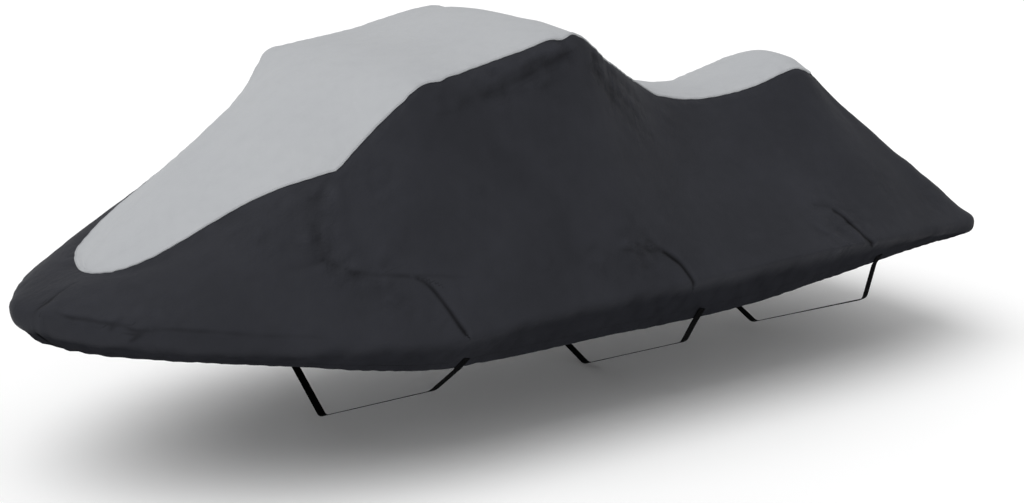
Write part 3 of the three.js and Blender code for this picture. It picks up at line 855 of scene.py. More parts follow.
@dataclass
class Drape:
    """All that lifts or sinks the cloth from its smooth form. Sizes are in mm."""

    creases: tuple[Crease, ...] = CREASES
    waves: tuple[SlowWaves, ...] = SLOW_WAVES
    swells: tuple[Swell, ...] = SWELLS
    crumples: Crumples = Crumples()
    # how far creases stray sideways, and the share by which they grow and shrink
    wander: SlowWaves = SlowWaves(seed=31, count=14, shortest=50, longest=140, height=3.0)
    falter: SlowWaves = SlowWaves(seed=32, count=14, shortest=35, longest=110, height=0.55)
    puckers: Ripple = Ripple(0.45, (
        (-720, 60, 0.9), (-520, 90, 1.3), (60, 90, 1.3), (430, 120, 0.5), (1090, 70, 0.9), (-1240, 60, 0.5),
    ), 33, ((1.9, 61, 0), (1.3, 137, 1)))
    gathers: Ripple = Ripple(
        0.35, ((-1400, 120, 0.9), (-1150, 160, 0.3), (1500, 120, 0.6)), 46, ((2.1, 83, 0), (1.2, 171, 2)),
    )
    pucker_reach: float = 26
    lap_rise: float = 2.25
    lap_slope: tuple[float, float] = (-16, -4)  # over which distance past the seam it rises
    strap_places: tuple[float, ...] = (-500, 322, 1068)
    strap_hold: float = 34  # how far a strap holds the hem flat
    centre_seam: tuple[float, float] = (0.12, 0.5)  # how strongly the sides' own seam shows, bow and stern
    side_from: tuple[float, float] = (-2, 14)  # distances past the seam between which creases set in
    line_reach: tuple[float, float] = (16, 30)  # up to where a sharp line shows in full, and at all
    deep: float = 5  # depth of a trough that gets the full painted shade
    high: float = 4  # height that is lightened fully
    steady: float = 0.75  # share of the slow waves that the skirt loses
    turn_in: float = 0.25  # share of the skirt over which the direction turns to the skirt's own
    crease_rest: float = 40  # how far from the middle plane creases fade
    pucker_rest: float = 20  # and puckers

    def measured(self, strips: Strips, side: Side) -> tuple[Array, Array, Array]:
        """Adds up the creases of one side.

        Args:
            strips: the smooth grid.
            side: the side that it lies on.

        Returns:
            The height in mm, and for the nearest sharp line its signed distance and its strength.
        """
        points = strips.points
        below_seam = smoothstep(*self.side_from, strips.past_seam)
        height = np.zeros(points.shape[:2])
        wander, falter = self.wander.at(points), 1 + self.falter.at(points)
        nearest = np.full(points.shape[:2], 2.0 * self.line_reach[1])
        strength = np.zeros_like(nearest)
        for crease in self.creases:
            if side not in crease.sides:
                continue
            signed, size = crease.measure(points)
            signed = signed + wander * (1 - crease.crisp)
            size = size * (falter * (1 - crease.crisp) + crease.crisp)
            height += crease.height(signed, size) * below_seam
            closer = (np.abs(signed) < np.abs(nearest)) & (crease.line > 0)
            nearest = np.where(closer, signed, nearest)
            shown = crease.line * size * below_seam * (1 - smoothstep(*self.line_reach, np.abs(signed)))
            strength = np.where(closer, shown, strength)
        return height, nearest, strength

    def puckered(self, strips: Strips) -> Array:
        """Works out the puckers, which swell as 0.6 + 0.4 sin(run / 93 + 0.4) and fade to each side.

        Args:
            strips: the smooth grid.

        Returns:
            Heights in mm.
        """
        swell = 0.6 + 0.4 * np.sin(strips.seam_run / 93 + 0.4)
        fade = bell(0, self.pucker_reach, strips.past_seam)
        return self.puckers.at(strips.seam_run, strips.points[..., 0]) * swell * fade

    def gathered(self, strips: Strips) -> Array:
        """Works out the hem's waves: with the square of the way down the skirt, and not at a strap.

        Args:
            strips: the smooth grid.

        Returns:
            Distances outwards in mm.
        """
        x = strips.points[..., 0]
        held = np.prod([1 - bell(c, self.strap_hold, x) for c in self.strap_places], axis=0)
        return self.gathers.at(strips.hem_run, x) * held * strips.skirt**2

    def hang(self, strips: Strips, side: Side, lap: bool) -> tuple[Array, Marks]:
        """Drapes a grid.

        Args:
            strips: the smooth grid on the starboard side.
            side: the side to make.
            lap: whether its edge rises over the other panel at the seam.

        Returns:
            The draped points in mm on that side, and the values that its material reads.
        """
        flip = np.array([1, side.value, 1])
        points = strips.points * flip
        outwards = face_directions(points) * side.value
        # the two sides meet at the bow and the stern, so there the direction stays in the middle plane
        outwards[[0, -1], :, 1] = 0
        outwards[[0, -1], :1] = outwards[[0, -1], 1:2]
        outwards = unit(outwards)
        height, nearest, strength = self.measured(strips, side)
        middle = np.abs(points[..., 1])
        ends = smoothstep(0, self.crease_rest, middle)
        calm = 1 - self.steady * strips.skirt
        crumpled = self.crumples.amount(strips, CRUMPLED)
        height += crumpled * self.crumples.at(points)
        # painted shade in the troughs, for the material to read
        trough_shade = np.clip(-height / self.deep, 0, 1) * ends
        # raised cloth, which the material makes lighter
        raised = np.clip(height / self.high, 0, 1) * ends
        height = height * ends + sum(w.at(points) for w in self.waves) * calm
        height += sum(swell.at(points) for swell in self.swells)
        height += self.puckered(strips) * smoothstep(0, self.pucker_rest, middle)
        strength = strength * ends
        if lap:
            height += self.lap_rise * smoothstep(*self.lap_slope, strips.past_seam)
        else:
            shown = np.where(points[..., 0] < 0, *self.centre_seam)
            shown = shown * (1 - smoothstep(*self.line_reach, middle))
            strength = np.where(middle < self.line_reach[1], shown, strength)
            nearest = np.where(middle < self.line_reach[1], middle, nearest)
        in_skirt = smoothstep(0, self.turn_in, strips.skirt)[..., None]
        skirt_out = (strips.skirt_out * flip)[:, None]
        way = unit(outwards * (1 - in_skirt) + skirt_out * in_skirt)
        points = points + way * height[..., None]
        points = points + skirt_out * (self.gathered(strips) * ends)[..., None]
        marks = {
            "crease_across": nearest * MM,
            "crease_strength": strength,
            "trough_shade": trough_shade,
            "raised": raised,
            "fold_shade": strips.fold_shade,
            "crumpled": crumpled,
        }
        return points, marks


def face_directions(points: Array) -> Array:
    """The direction square to a grid: the cross product of its slopes along rows and along columns."""
    return unit(np.cross(np.gradient(points, axis=0), np.gradient(points, axis=1)))


# Meshes.


@dataclass
class Sewing:
    """Turns grids of points into Blender meshes of closed cloth. Sizes are in mm."""

    thickness: float = 2.0
    weld: float = 0.02  # points closer than this are one
    sharp_angle: float = 50  # degrees between faces that meet in a sharp edge

    def faces(self, rows: int, columns: int, turn: bool) -> Array:
        """Joins the points of a grid in cells.

        Args:
            rows, columns: size of the grid.
            turn: whether the cells are turned over.

        Returns:
            The four corners of each cell.
        """
        index = np.arange(rows * columns).reshape(rows, columns)
        corners = [index[:-1, :-1], index[1:, :-1], index[1:, 1:], index[:-1, 1:]]
        cells = np.stack([c.ravel() for c in corners], -1)
        return cells[:, ::-1] if turn else cells

    def welded(self, points: Array, cells: Array) -> tuple[Array, Array]:
        """Joins points that fall together.

        Args:
            points: (n, 3) points in mm.
            cells: (m, 4) corners.

        Returns:
            For each old point the number of the new one that stands for it, and the cells in new numbers.
        """
        keys = np.round(points / self.weld).astype(np.int64)
        _, first, same = np.unique(keys, axis=0, return_index=True, return_inverse=True)
        return first, same.reshape(-1)[cells]

    def outwards(self, points: Array, cells: Array) -> Array:
        """The direction at each point: the sum of (c - a) x (d - b) over the cells a, b, c, d round it.

        Args:
            points: (n, 3) points.
            cells: (m, 4) corners.

        Returns:
            (n, 3) directions.
        """
        a, b, c, d = (points[cells[:, k]] for k in range(4))
        area = np.cross(c - a, d - b)
        total = np.zeros_like(points)
        for k in range(4):
            np.add.at(total, cells[:, k], area)
        return unit(total)

    def body(self, points: Array, cells: Array, level: Array) -> tuple[Array, Array]:
        """Gives a sheet its thickness.

        Args:
            points: (n, 3) points of the outer face, in mm.
            cells: (m, 4) its cells.
            level: (n,) True where the direction stays in the plane of the middle of the cover.

        Returns:
            Outer points followed by inner points, and the cells of both faces and of the edge.
        """
        way = self.outwards(points, cells)
        way[level, 1] = 0
        inner = points - unit(way) * self.thickness
        count = len(points)
        starts, ends = cells.ravel(), np.roll(cells, -1, axis=1).ravel()
        real = starts != ends
        starts, ends = starts[real], ends[real]
        open_edge = ~np.isin(starts * count + ends, ends * count + starts)
        a, b = starts[open_edge], ends[open_edge]
        edge = np.stack([b, a, a + count, b + count], -1)
        return np.vstack([points, inner]), np.vstack([cells, cells[:, ::-1] + count, edge])

    def mesh(self, name: str, points: Array, cells: Array, uv: Array, marks: Marks) -> bpy.types.Object:
        """Makes the Blender object.

        Args:
            name: of the piece.
            points: (n, 3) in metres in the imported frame.
            cells: (m, 4); a cell with two corners alike becomes a triangle.
            uv: (n, 2) in metres.
            marks: values for each point, by name.

        Returns:
            The new object, linked to the scene.
        """
        doubled = cells == np.roll(cells, -1, axis=1)
        once = doubled.sum(1) == 1
        triangles = cells[once][~doubled[once]].reshape(-1, 3)
        mesh = bpy.data.meshes.new(name)
        mesh.from_pydata(points.tolist(), [], cells[~doubled.any(1)].tolist() + triangles.tolist())
        layer = mesh.uv_layers.new(name="cloth")
        corner = np.empty(len(mesh.loops), dtype=np.int32)
        mesh.loops.foreach_get("vertex_index", corner)
        layer.data.foreach_set("uv", uv[corner].astype(np.float32).ravel())
        for key, values in marks.items():
            mark = mesh.attributes.new(key, "FLOAT", "POINT")
            mark.data.foreach_set("value", values.astype(np.float32).ravel())
        mesh.shade_smooth()
        mesh.set_sharp_from_angle(angle=float(np.radians(self.sharp_angle)))
        return placed(name, mesh)

    def cloth(self, name: str, points: Array, turn: bool, marks: Marks) -> bpy.types.Object:
        """Makes a whole closed sheet from a grid of outer points in mm.

        Args:
            name: of the piece.
            points: (rows, columns, 3), with the first and last row on the middle plane.
            turn: whether the grid's cells have to be turned over to face outwards.
            marks: values for each point of the grid, by name.

        Returns:
            The new object.
        """
        rows, columns = points.shape[:2]
        level = np.zeros((rows, columns), dtype=bool)
        level[[0, -1]] = True
        along = run_length(points, axis=0)
        uv = np.stack([along - along[rows // 2], run_length(points, axis=1)], -1) * MM
        first, cells = self.welded(points.reshape(-1, 3), self.faces(rows, columns, turn))
        outer = points.reshape(-1, 3)[first]
        both, cells = self.body(outer, cells, level.ravel()[first])
        twice = {k: np.tile(v.ravel()[first], 2) for k, v in marks.items()}
        return self.mesh(name, in_frame(both), cells, np.tile(uv.reshape(-1, 2)[first], (2, 1)), twice)


@dataclass(frozen=True)
class StitchRow:
    """A row of stitches along a line on the cloth. Sizes are in mm, thicker than the 0.4 mm thread."""

    length: float = 3.6
    pitch: float = 5.0
    width: float = 0.9
    rise: float = 0.45
    places: tuple[float, ...] = (-0.5, -0.3, 0.3, 0.5)  # of its four rings, as shares of the length
    fatness: tuple[float, ...] = (0.35, 1.0, 1.0, 0.35)  # of each ring
    lifts: tuple[float, ...] = (-0.1, 0.2, 0.2, -0.1)  # of each ring off the cloth, so that its ends dip in

    def along(self, line: Array, outwards: Array) -> tuple[Array, Array]:
        """Lays stitches on a line.

        Args:
            line: (n, 3) points on the cloth, in mm.
            outwards: (n, 3) directions.

        Returns:
            Points in mm and cells. Each stitch is four rings of four points: centre + s t + a w + b n,
            with t along the line, n outwards and w across.
        """
        run = run_length(line)
        centres = np.arange(self.pitch, run[-1] - self.pitch, self.pitch)
        slope = np.gradient(line, np.maximum(run, 1e-6), axis=0)
        at, n, t = (sampled(run, values, centres) for values in (line, outwards, slope))
        n, t = unit(n), unit(t)
        w = unit(np.cross(n, t))
        s = np.array(self.places) * self.length
        fat, lift = np.array(self.fatness)[:, None], np.array(self.lifts)[:, None]
        a = fat * np.array([0.5, 0.0, -0.5, 0.0]) * self.width
        b = fat * np.array([0.0, 1.0, 0.0, -1.0]) * self.rise + lift
        points = (
            at[:, None, None]
            + s[None, :, None, None] * t[:, None, None]
            + a[None, :, :, None] * w[:, None, None]
            + b[None, :, :, None] * n[:, None, None]
        )
        index, walls = tube_cells(4, 4)
        one = np.vstack([walls, index[:1], index[-1:, ::-1]])[:, ::-1]
        cells = (one + index.size * np.arange(len(at))[:, None, None]).reshape(-1, 4)
        return points.reshape(-1, 3), cells


# Finishes.


class Nodes:
    """The node tree of one material."""

    def __init__(self, name: str) -> None:
        """Makes the material, empty but for its output.

        Args:
            name: of the material.
        """
        self.material = bpy.data.materials.new(name)
        self.material.use_nodes = True
        self.tree = self.material.node_tree
        self.tree.nodes.clear()
        self.output = self.tree.nodes.new("ShaderNodeOutputMaterial")

    def add(
        self, kind: str, links: dict[str | int, object] | None = None, **settings: object
    ) -> bpy.types.Node:
        """Adds a node.

        Args:
            kind: its Blender type, without the ShaderNode in front.
            links: for each input, a number, a colour, or what is linked to it: a node, which stands for
                its first output, or a (node, output) pair.
            settings: its properties.

        Returns:
            The node.
        """
        node = self.tree.nodes.new("ShaderNode" + kind)
        for key, value in settings.items():
            setattr(node, key, value)
        for key, value in (links or {}).items():
            value = (value, 0) if isinstance(value, bpy.types.Node) else value
            if isinstance(value, tuple) and isinstance(value[0], bpy.types.Node):
                self.tree.links.new(value[0].outputs[value[1]], node.inputs[key])
            else:
                node.inputs[key].default_value = value
        return node

    def finish(self, surface: bpy.types.Node) -> bpy.types.Material:
        """Links the surface to the output."""
        self.tree.links.new(surface.outputs[0], self.output.inputs["Surface"])
        return self.material


@dataclass(frozen=True)
class CoatedWeave:
    """Woven polyester with a thin polyurethane coat. Sizes are in mm.

    It gives the eye an even, half-matt cloth whose weave only shows close by, a little lighter in worn
    patches and on raised cloth, and with painted shade that darkens its creases, its troughs and the cloth
    under the fold, where the shine is taken out too.
    """

    name: str
    thread: str
    gap: str
    # a lighter colour, for the worn patches and for raised cloth
    lighter_tint: str
    # the colour of the painted shade in sharp creases, troughs and under the fold
    deep: str
    shine: float
    sheen: float
    roughness: tuple[float, float] = (0.57, 0.68)
    weave: float = 3.0  # the real 0.6 mm threads are drawn coarser, so that they show
    weave_depth: float = 0.2
    cloud: float = 250  # size of the slow patches where the coat is worn
    grain: float = 4.16667  # of the coat's roughness
    crumple: float = 41.6667  # size of the broadest crumples that are only drawn
    crumple_depth: float = 24
    line_width: float = 5.2  # of a sharp crease
    line_depth: float = 4
    by_gap: float = 0.55  # how much of the gaps' colour the weave shows
    by_cloud: float = 0.32  # of the lighter colour, in the worn patches
    by_raised: float = 0.5  # and on raised cloth
    by_line: float = 0.85  # of the deep colour, as painted shade along a sharp crease
    by_trough_shade: float = 0.32  # as painted shade in a trough
    by_fold_shade: float = 0.36  # and as painted shade under the fold
    # the most that the painted shade takes of the deep colour
    darkest: float = 0.92

    def build(self) -> bpy.types.Material:
        """Builds the material.

        The weave is sin(2 pi u / p) sin(2 pi v / p) on the cloth's own map, and a sharp crease is its
        strength times exp(-(distance / line width)^2).

        Returns:
            The material.
        """
        n = Nodes(self.name)
        marks = ("crease_across", "crease_strength", "crumpled", "trough_shade", "raised", "fold_shade")
        across, strength, crumpled, trough_shade, raised, fold_shade = (
            (n.add("Attribute", attribute_name=mark), 2) for mark in marks
        )
        uv = n.add("UVMap", uv_map="cloth")
        place = n.add("TexCoord")
        parts = n.add("SeparateXYZ", {0: uv})
        turn = 2 * np.pi / (self.weave * MM)
        angles = [n.add("Math", {0: (parts, k), 1: turn}, operation="MULTIPLY") for k in (0, 1)]
        waves = [n.add("Math", {0: angle}, operation="SINE") for angle in angles]
        weave = n.add("Math", {0: (waves[0], 0), 1: (waves[1], 0)}, operation="MULTIPLY")
        narrow = n.add("Math", {0: across, 1: per_metre(self.line_width)}, operation="MULTIPLY")
        square = n.add("Math", {0: narrow, 1: narrow}, operation="MULTIPLY")
        minus = n.add("Math", {0: square, 1: -1.0}, operation="MULTIPLY")
        line = n.add("Math", {0: minus}, operation="EXPONENT")
        crease = n.add("Math", {0: line, 1: strength}, operation="MULTIPLY")
        cloudy = n.add("TexNoise", {
            "Vector": (place, 3), "Scale": per_metre(self.cloud), "Detail": 3.0, "Roughness": 0.55,
        })
        fine = n.add("TexNoise", {"Vector": uv, "Scale": per_metre(self.grain), "Detail": 2.0})
        crumple = n.add("TexNoise", {
            "Vector": (place, 3), "Scale": per_metre(self.crumple), "Detail": 4.0, "Roughness": 0.55,
        })
        uneven = n.add("Math", {0: crumple, 1: crumpled}, operation="MULTIPLY")
        by_weave = n.add("MapRange", {0: weave, 1: -1.0, 2: 1.0, 3: 0.0, 4: self.by_gap})
        by_cloud = n.add("MapRange", {0: cloudy, 1: 0.35, 2: 0.7, 3: 0.0, 4: self.by_cloud})
        # lighter on raised cloth
        by_lighter = n.add("Math", {0: raised, 1: self.by_raised}, operation="MULTIPLY")
        # painted shade: darker along sharp crease lines, in troughs and under the fold
        dark = n.add("Math", {0: crease, 1: self.by_line}, operation="MULTIPLY")
        for mark, share in ((trough_shade, self.by_trough_shade), (fold_shade, self.by_fold_shade)):
            dark = n.add("Math", {0: mark, 1: share, 2: dark}, operation="MULTIPLY_ADD")
        shade = n.add("Clamp", {0: dark, 1: 0.0, 2: self.darkest})
        colour = linear(self.thread)
        for share, other in (
            (by_weave, self.gap), (by_cloud, self.lighter_tint), (by_lighter, self.lighter_tint), (shade, self.deep),
        ):
            colour = (n.add("Mix", {0: share, 6: colour, 7: linear(other)}, data_type="RGBA"), 2)
        # painted shade: the shine fades out under the fold
        shine = n.add("MapRange", {0: fold_shade, 1: 0.0, 2: 1.0, 3: self.shine, 4: 0.0})
        rough = n.add("MapRange", {0: fine, 1: 0.3, 2: 0.7, 3: self.roughness[0], 4: self.roughness[1]})
        down = n.add("Math", {0: crease, 1: -1.0}, operation="MULTIPLY")
        normal = None
        for height, depth, share in (
            (down, self.line_depth, 0.8), (uneven, self.crumple_depth, 0.6), (weave, self.weave_depth, 0.5),
        ):
            below = {"Normal": normal} if normal else {}
            normal = n.add("Bump", {"Height": height, "Distance": depth * MM, "Strength": share} | below)
        shader = n.add("BsdfPrincipled", {
            "Base Color": colour, "Roughness": rough, "IOR": 1.5, "Specular IOR Level": shine,
            "Sheen Weight": self.sheen, "Sheen Roughness": 0.5, "Normal": normal,
        })
        return n.finish(shader)


@dataclass(frozen=True)
class NarrowWebbing:
    """Flat woven polypropylene webbing. Sizes are in mm.

    It gives the eye a dull black band with fine ribs across it, painted shade in their grooves, and a firm
    edge.
    """

    name: str = "woven polypropylene webbing"
    yarn: str = "#080809"
    # colour of the painted shade in the grooves between the ribs
    groove: str = "#020203"
    rib: float = 2.4  # from rib to rib
    rib_depth: float = 0.3
    herringbone: float = 4  # width of a band of ribs that lean one way
    fuzz: float = 1.11111

    def build(self) -> bpy.types.Material:
        """Builds the material. Ribs are sin(2 pi u / p), bent in a herringbone by |v|.

        Returns:
            The material.
        """
        n = Nodes(self.name)
        uv = n.add("UVMap", uv_map="cloth")
        parts = n.add("SeparateXYZ", {0: uv})
        bent = n.add("Math", {0: (parts, 1), 1: self.herringbone * MM}, operation="PINGPONG")
        run = n.add("Math", {0: parts, 1: bent}, operation="ADD")
        angle = n.add("Math", {0: run, 1: 2 * np.pi / (self.rib * MM)}, operation="MULTIPLY")
        ribs = n.add("Math", {0: angle}, operation="SINE")
        share = n.add("MapRange", {0: ribs, 1: -1.0, 2: 1.0})
        # painted shade: darker in the grooves between the ribs
        colour = n.add("Mix", {0: share, 6: linear(self.groove), 7: linear(self.yarn)}, data_type="RGBA")
        fuzz = n.add("TexNoise", {"Vector": uv, "Scale": per_metre(self.fuzz), "Detail": 2.0})
        rough = n.add("MapRange", {0: fuzz, 1: 0.3, 2: 0.7, 3: 0.7, 4: 0.85})
        bump = n.add("Bump", {"Height": ribs, "Distance": self.rib_depth * MM, "Strength": 0.8})
        shader = n.add("BsdfPrincipled", {
            "Base Color": (colour, 2), "Roughness": rough, "IOR": 1.49, "Specular IOR Level": 0.03,
            "Normal": bump,
        })
        return n.finish(shader)


@dataclass(frozen=True)
class SewingThread:
    """Bonded polyester thread. Sizes are in mm.

    It gives the eye a dull stitch close to the cloth's own colour, a little uneven from its twist.
    """

    name: str
    colour: str
    dark: str
    twist: float = 1.11111
    twist_depth: float = 0.2

    def build(self) -> bpy.types.Material:
        """Builds the material, with a fine noise for the twist.

        Returns:
            The material.
        """
        n = Nodes(self.name)
        place = n.add("TexCoord")
        twist = n.add("TexNoise", {"Vector": (place, 3), "Scale": per_metre(self.twist), "Detail": 1.0})
        colour = n.add("Mix", {0: twist, 6: linear(self.dark), 7: linear(self.colour)}, data_type="RGBA")
        bump = n.add("Bump", {"Height": twist, "Distance": self.twist_depth * MM, "Strength": 0.6})
        shader = n.add("BsdfPrincipled", {
            "Base Color": (colour, 2), "Roughness": 0.6, "IOR": 1.5, "Specular IOR Level": 0.08,
            "Normal": bump,
        })
        return n.finish(shader)


@dataclass(frozen=True)
class StudioFloor:
    """Matt white paper, which gives the eye a soft shadow and no shine."""

    name: str = "matt studio paper"
    colour: str = "#fcfcfc"
    grain: float = 16.6667  # mm

    def build(self) -> bpy.types.Material:
        """Builds the material, with a very faint grain.

        Returns:
            The material.
        """
        n = Nodes(self.name)
        place = n.add("TexCoord")
        grain = n.add("TexNoise", {"Vector": (place, 3), "Scale": per_metre(self.grain), "Detail": 2.0})
        rough = n.add("MapRange", {0: grain, 1: 0.3, 2: 0.7, 3: 0.9, 4: 1.0})
        shader = n.add("BsdfPrincipled", {
            "Base Color": linear(self.colour), "Roughness": rough, "Specular IOR Level": 0.1,
        })
        return n.finish(shader)


# The pieces.


@dataclass
class SidePanel:
    """A charcoal side panel, from the seam down to the drawn-up hem."""

    side: Side
    drape: Drape
    tailor: Tailor
    sewing: Sewing
    gap: float = 0.03  # mm from the middle plane, so that the two panels stay apart
    flat_size: tuple[float, float] = (1.0, 3.3)  # m
    flat_area: float = 2.3  # square metres

    @property
    def name(self) -> str:
        """The name of the piece."""
        return f"cover_side_{self.side.name.lower()}"

    def build(self) -> bpy.types.Object:
        """Builds the panel and keeps its draped points for the stitches.

        Returns:
            The new object.
        """
        strips = self.tailor.side_half(self.side)
        self.points, marks = self.drape.hang(strips, self.side, lap=False)
        self.points[[0, -1], :, 1] = self.side.value * self.gap
        self.outwards = face_directions(self.points) * self.side.value
        return self.sewing.cloth(self.name, self.points, self.side is Side.PORT, marks)

    def hem_line(self) -> tuple[Array, Array]:
        """The line of the hem's stitches and its outward directions."""
        column = self.tailor.stitch_column
        return self.points[:, column], self.outwards[:, column]


@dataclass
class TopPanel:
    """The pale grey top panel, in one piece, with its edge lapped over the side panels."""

    drape: Drape
    tailor: Tailor
    sewing: Sewing
    flat_size: tuple[float, float] = (0.88, 2.95)  # m
    flat_area: float = 1.42  # square metres
    stitch_columns: tuple[int, ...] = (1, 3, -2, -4)  # two at each edge
    name: str = "cover_top"

    def build(self) -> bpy.types.Object:
        """Builds the panel from its two halves, which share the middle column.

        Returns:
            The new object.
        """
        halves = [self.drape.hang(self.tailor.top_half(side), side, lap=True) for side in BOTH]
        (port, port_marks), (starboard, starboard_marks) = halves
        middle = (port[:, :1] + starboard[:, :1]) / 2
        self.points = np.concatenate([port[:, :0:-1], middle, starboard[:, 1:]], axis=1)
        self.points[[0, -1]] = (self.points[[0, -1]] + self.points[[0, -1], ::-1]) / 2
        self.points[[0, -1], :, 1] = 0
        marks = {k: np.concatenate([v[:, :0:-1], starboard_marks[k]], axis=1) for k, v in port_marks.items()}
        self.outwards = face_directions(self.points)
        return self.sewing.cloth(self.name, self.points, False, marks)

    def seam_lines(self) -> list[tuple[Array, Array]]:
        """Two rows of stitches along each edge, with their outward directions."""
        return [(self.points[1:-1, c], self.outwards[1:-1, c]) for c in self.stitch_columns]


@dataclass
class TieStrap:
    """A flat webbing strap from one hem to the other, drawn tight in a loop below. Sizes are in mm."""

    name: str
    node: str
    hem_x: float  # where it leaves the hem
    corner: tuple[float, float, float]  # where it bends inwards, on the starboard side
    lowest: tuple[float, float]  # x and z of its middle
    width: float = 25
    thickness: float = 2
    sewn: float = 40  # length that lies on the cloth
    lean: float = 0  # how far its sewn end leans along the hem, towards the stern
    clear: float = 0.5  # gap to the cloth
    past: float = 4  # how far it runs straight past the hem
    bend: float = 15  # length that is rounded on each side of a bend
    squareness: tuple[float, float] = (0.25, 0.6)  # powers of the cos and sin of its outline
    box: tuple[float, float, float] = (4, 34, 4)  # near end, far end and margin of its box stitching

    def middle_line(self, form: CoverForm) -> tuple[Array, Array]:
        """Lays out the middle line from port to starboard, with rounded bends.

        Args:
            form: the cover that it is sewn to.

        Returns:
            Its points, and the way across it at each point.
        """
        place = np.array([form.hem_place(self.hem_x)])
        at = form.corners(place)
        down = unit(at.hem - at.rail_foot)[0]
        across = form.along(place, "hem")[0]
        out = unit(-np.cross(down, across))
        on_hem = at.hem[0] + out * (self.clear + self.thickness / 2)
        start, end = on_hem - down * self.sewn + across * self.lean, on_hem + down * self.past
        turn, bottom = np.array(self.corner, dtype=float), np.array([self.lowest[0], 0, self.lowest[1]])
        bend_start = turn + unit(end - turn) * self.bend
        bend_end = turn + unit(bottom - turn) * self.bend
        low_start = bottom + unit(turn - bottom) * self.bend
        legs = (
            (start, (start + end) / 2, end, shares(11)),
            (end, (end + bend_start) / 2, bend_start, shares(23)),
            (bend_start, turn, bend_end, shares(11)),
            (bend_end, (bend_end + low_start) / 2, low_start, shares(39)),
            (low_start, bottom, low_start * [1, -1, 1], shares(5) / 2),
        )
        half = np.vstack([start] + [bezier(a[None], b[None], c[None], t)[0] for a, b, c, t in legs])
        share = np.minimum(half[:, 1:2] / on_hem[1], 1)
        ways = np.array([1.0, 0, 0]) * (1 - share) + across * share
        mirror = np.array([1, -1, 1])
        line = np.vstack([half[:-1] * mirror, half[::-1]])
        return line, np.vstack([ways[:-1] * mirror, ways[::-1]])

    def build(self, form: CoverForm, sewing: Sewing) -> bpy.types.Object:
        """Carries a flat rounded outline along the middle line.

        A point is the line's point, plus cos and sin of an angle, each with its power taken, times half the
        width and half the thickness.

        Args:
            form: the cover that it is sewn to.
            sewing: makes the mesh.

        Returns:
            The new object.
        """
        line, ways = self.middle_line(form)
        tangent = unit(np.gradient(line, axis=0))
        level = unit(ways - tangent * np.sum(ways * tangent, -1, keepdims=True))
        up = np.cross(level, tangent)
        angle = np.linspace(0, 2 * np.pi, 24, endpoint=False)
        a, b = np.cos(angle), np.sin(angle)
        a = np.sign(a) * np.abs(a) ** self.squareness[0] * self.width / 2
        b = np.sign(b) * np.abs(b) ** self.squareness[1] * self.thickness / 2
        rings = line[:, None] + a[None, :, None] * level[:, None] + b[None, :, None] * up[:, None]
        index, walls = tube_cells(*rings.shape[:2])
        caps = np.vstack([self._cap(index[0][::-1]), self._cap(index[-1])])
        cells = np.vstack([np.roll(walls, -1, axis=1), caps[:, ::-1]])
        run = run_length(line)
        uv = np.stack(np.broadcast_arrays(run[:, None], a), -1).reshape(-1, 2) * MM
        self.length = float(run[-1]) * MM
        self.line, self.up, self.level = line, up, level
        return sewing.mesh(self.name, in_frame(rings.reshape(-1, 3)), cells, uv, {})

    @staticmethod
    def _cap(ring: Array) -> Array:
        """Closes an end with cells between the two halves of its ring."""
        a, b = ring[: len(ring) // 2], ring[len(ring) // 2 :][::-1]
        return np.stack([a[:-1], a[1:], b[1:], b[:-1]], -1)

    def stitch_lines(self) -> list[tuple[Array, Array]]:
        """Draws a box with a cross in it at each sewn end, in one path.

        Returns:
            For each straight stretch, its points on the strap's outer face and their outward directions.
        """
        near, far, margin = self.box
        half = self.width / 2 - margin
        path = np.array([
            (near, -half), (near, half), (far, half), (far, -half), (near, -half), (far, half),
            (far, -half), (near, half),
        ])
        lines = []
        for order in (slice(None), slice(None, None, -1)):
            line, up, level = self.line[order], self.up[order], self.level[order]
            run = run_length(line)
            for a, b in zip(path[:-1], path[1:]):
                place = a + np.linspace(0, 1, 9)[:, None] * (b - a)
                at, away, across = (sampled(run, values, place[:, 0]) for values in (line, up, level))
                away = away * np.sign(away[:, 1:2] * at[:, 1:2])
                lines.append((at + away * self.thickness / 2 + across * place[:, 1:2], away))
        return lines


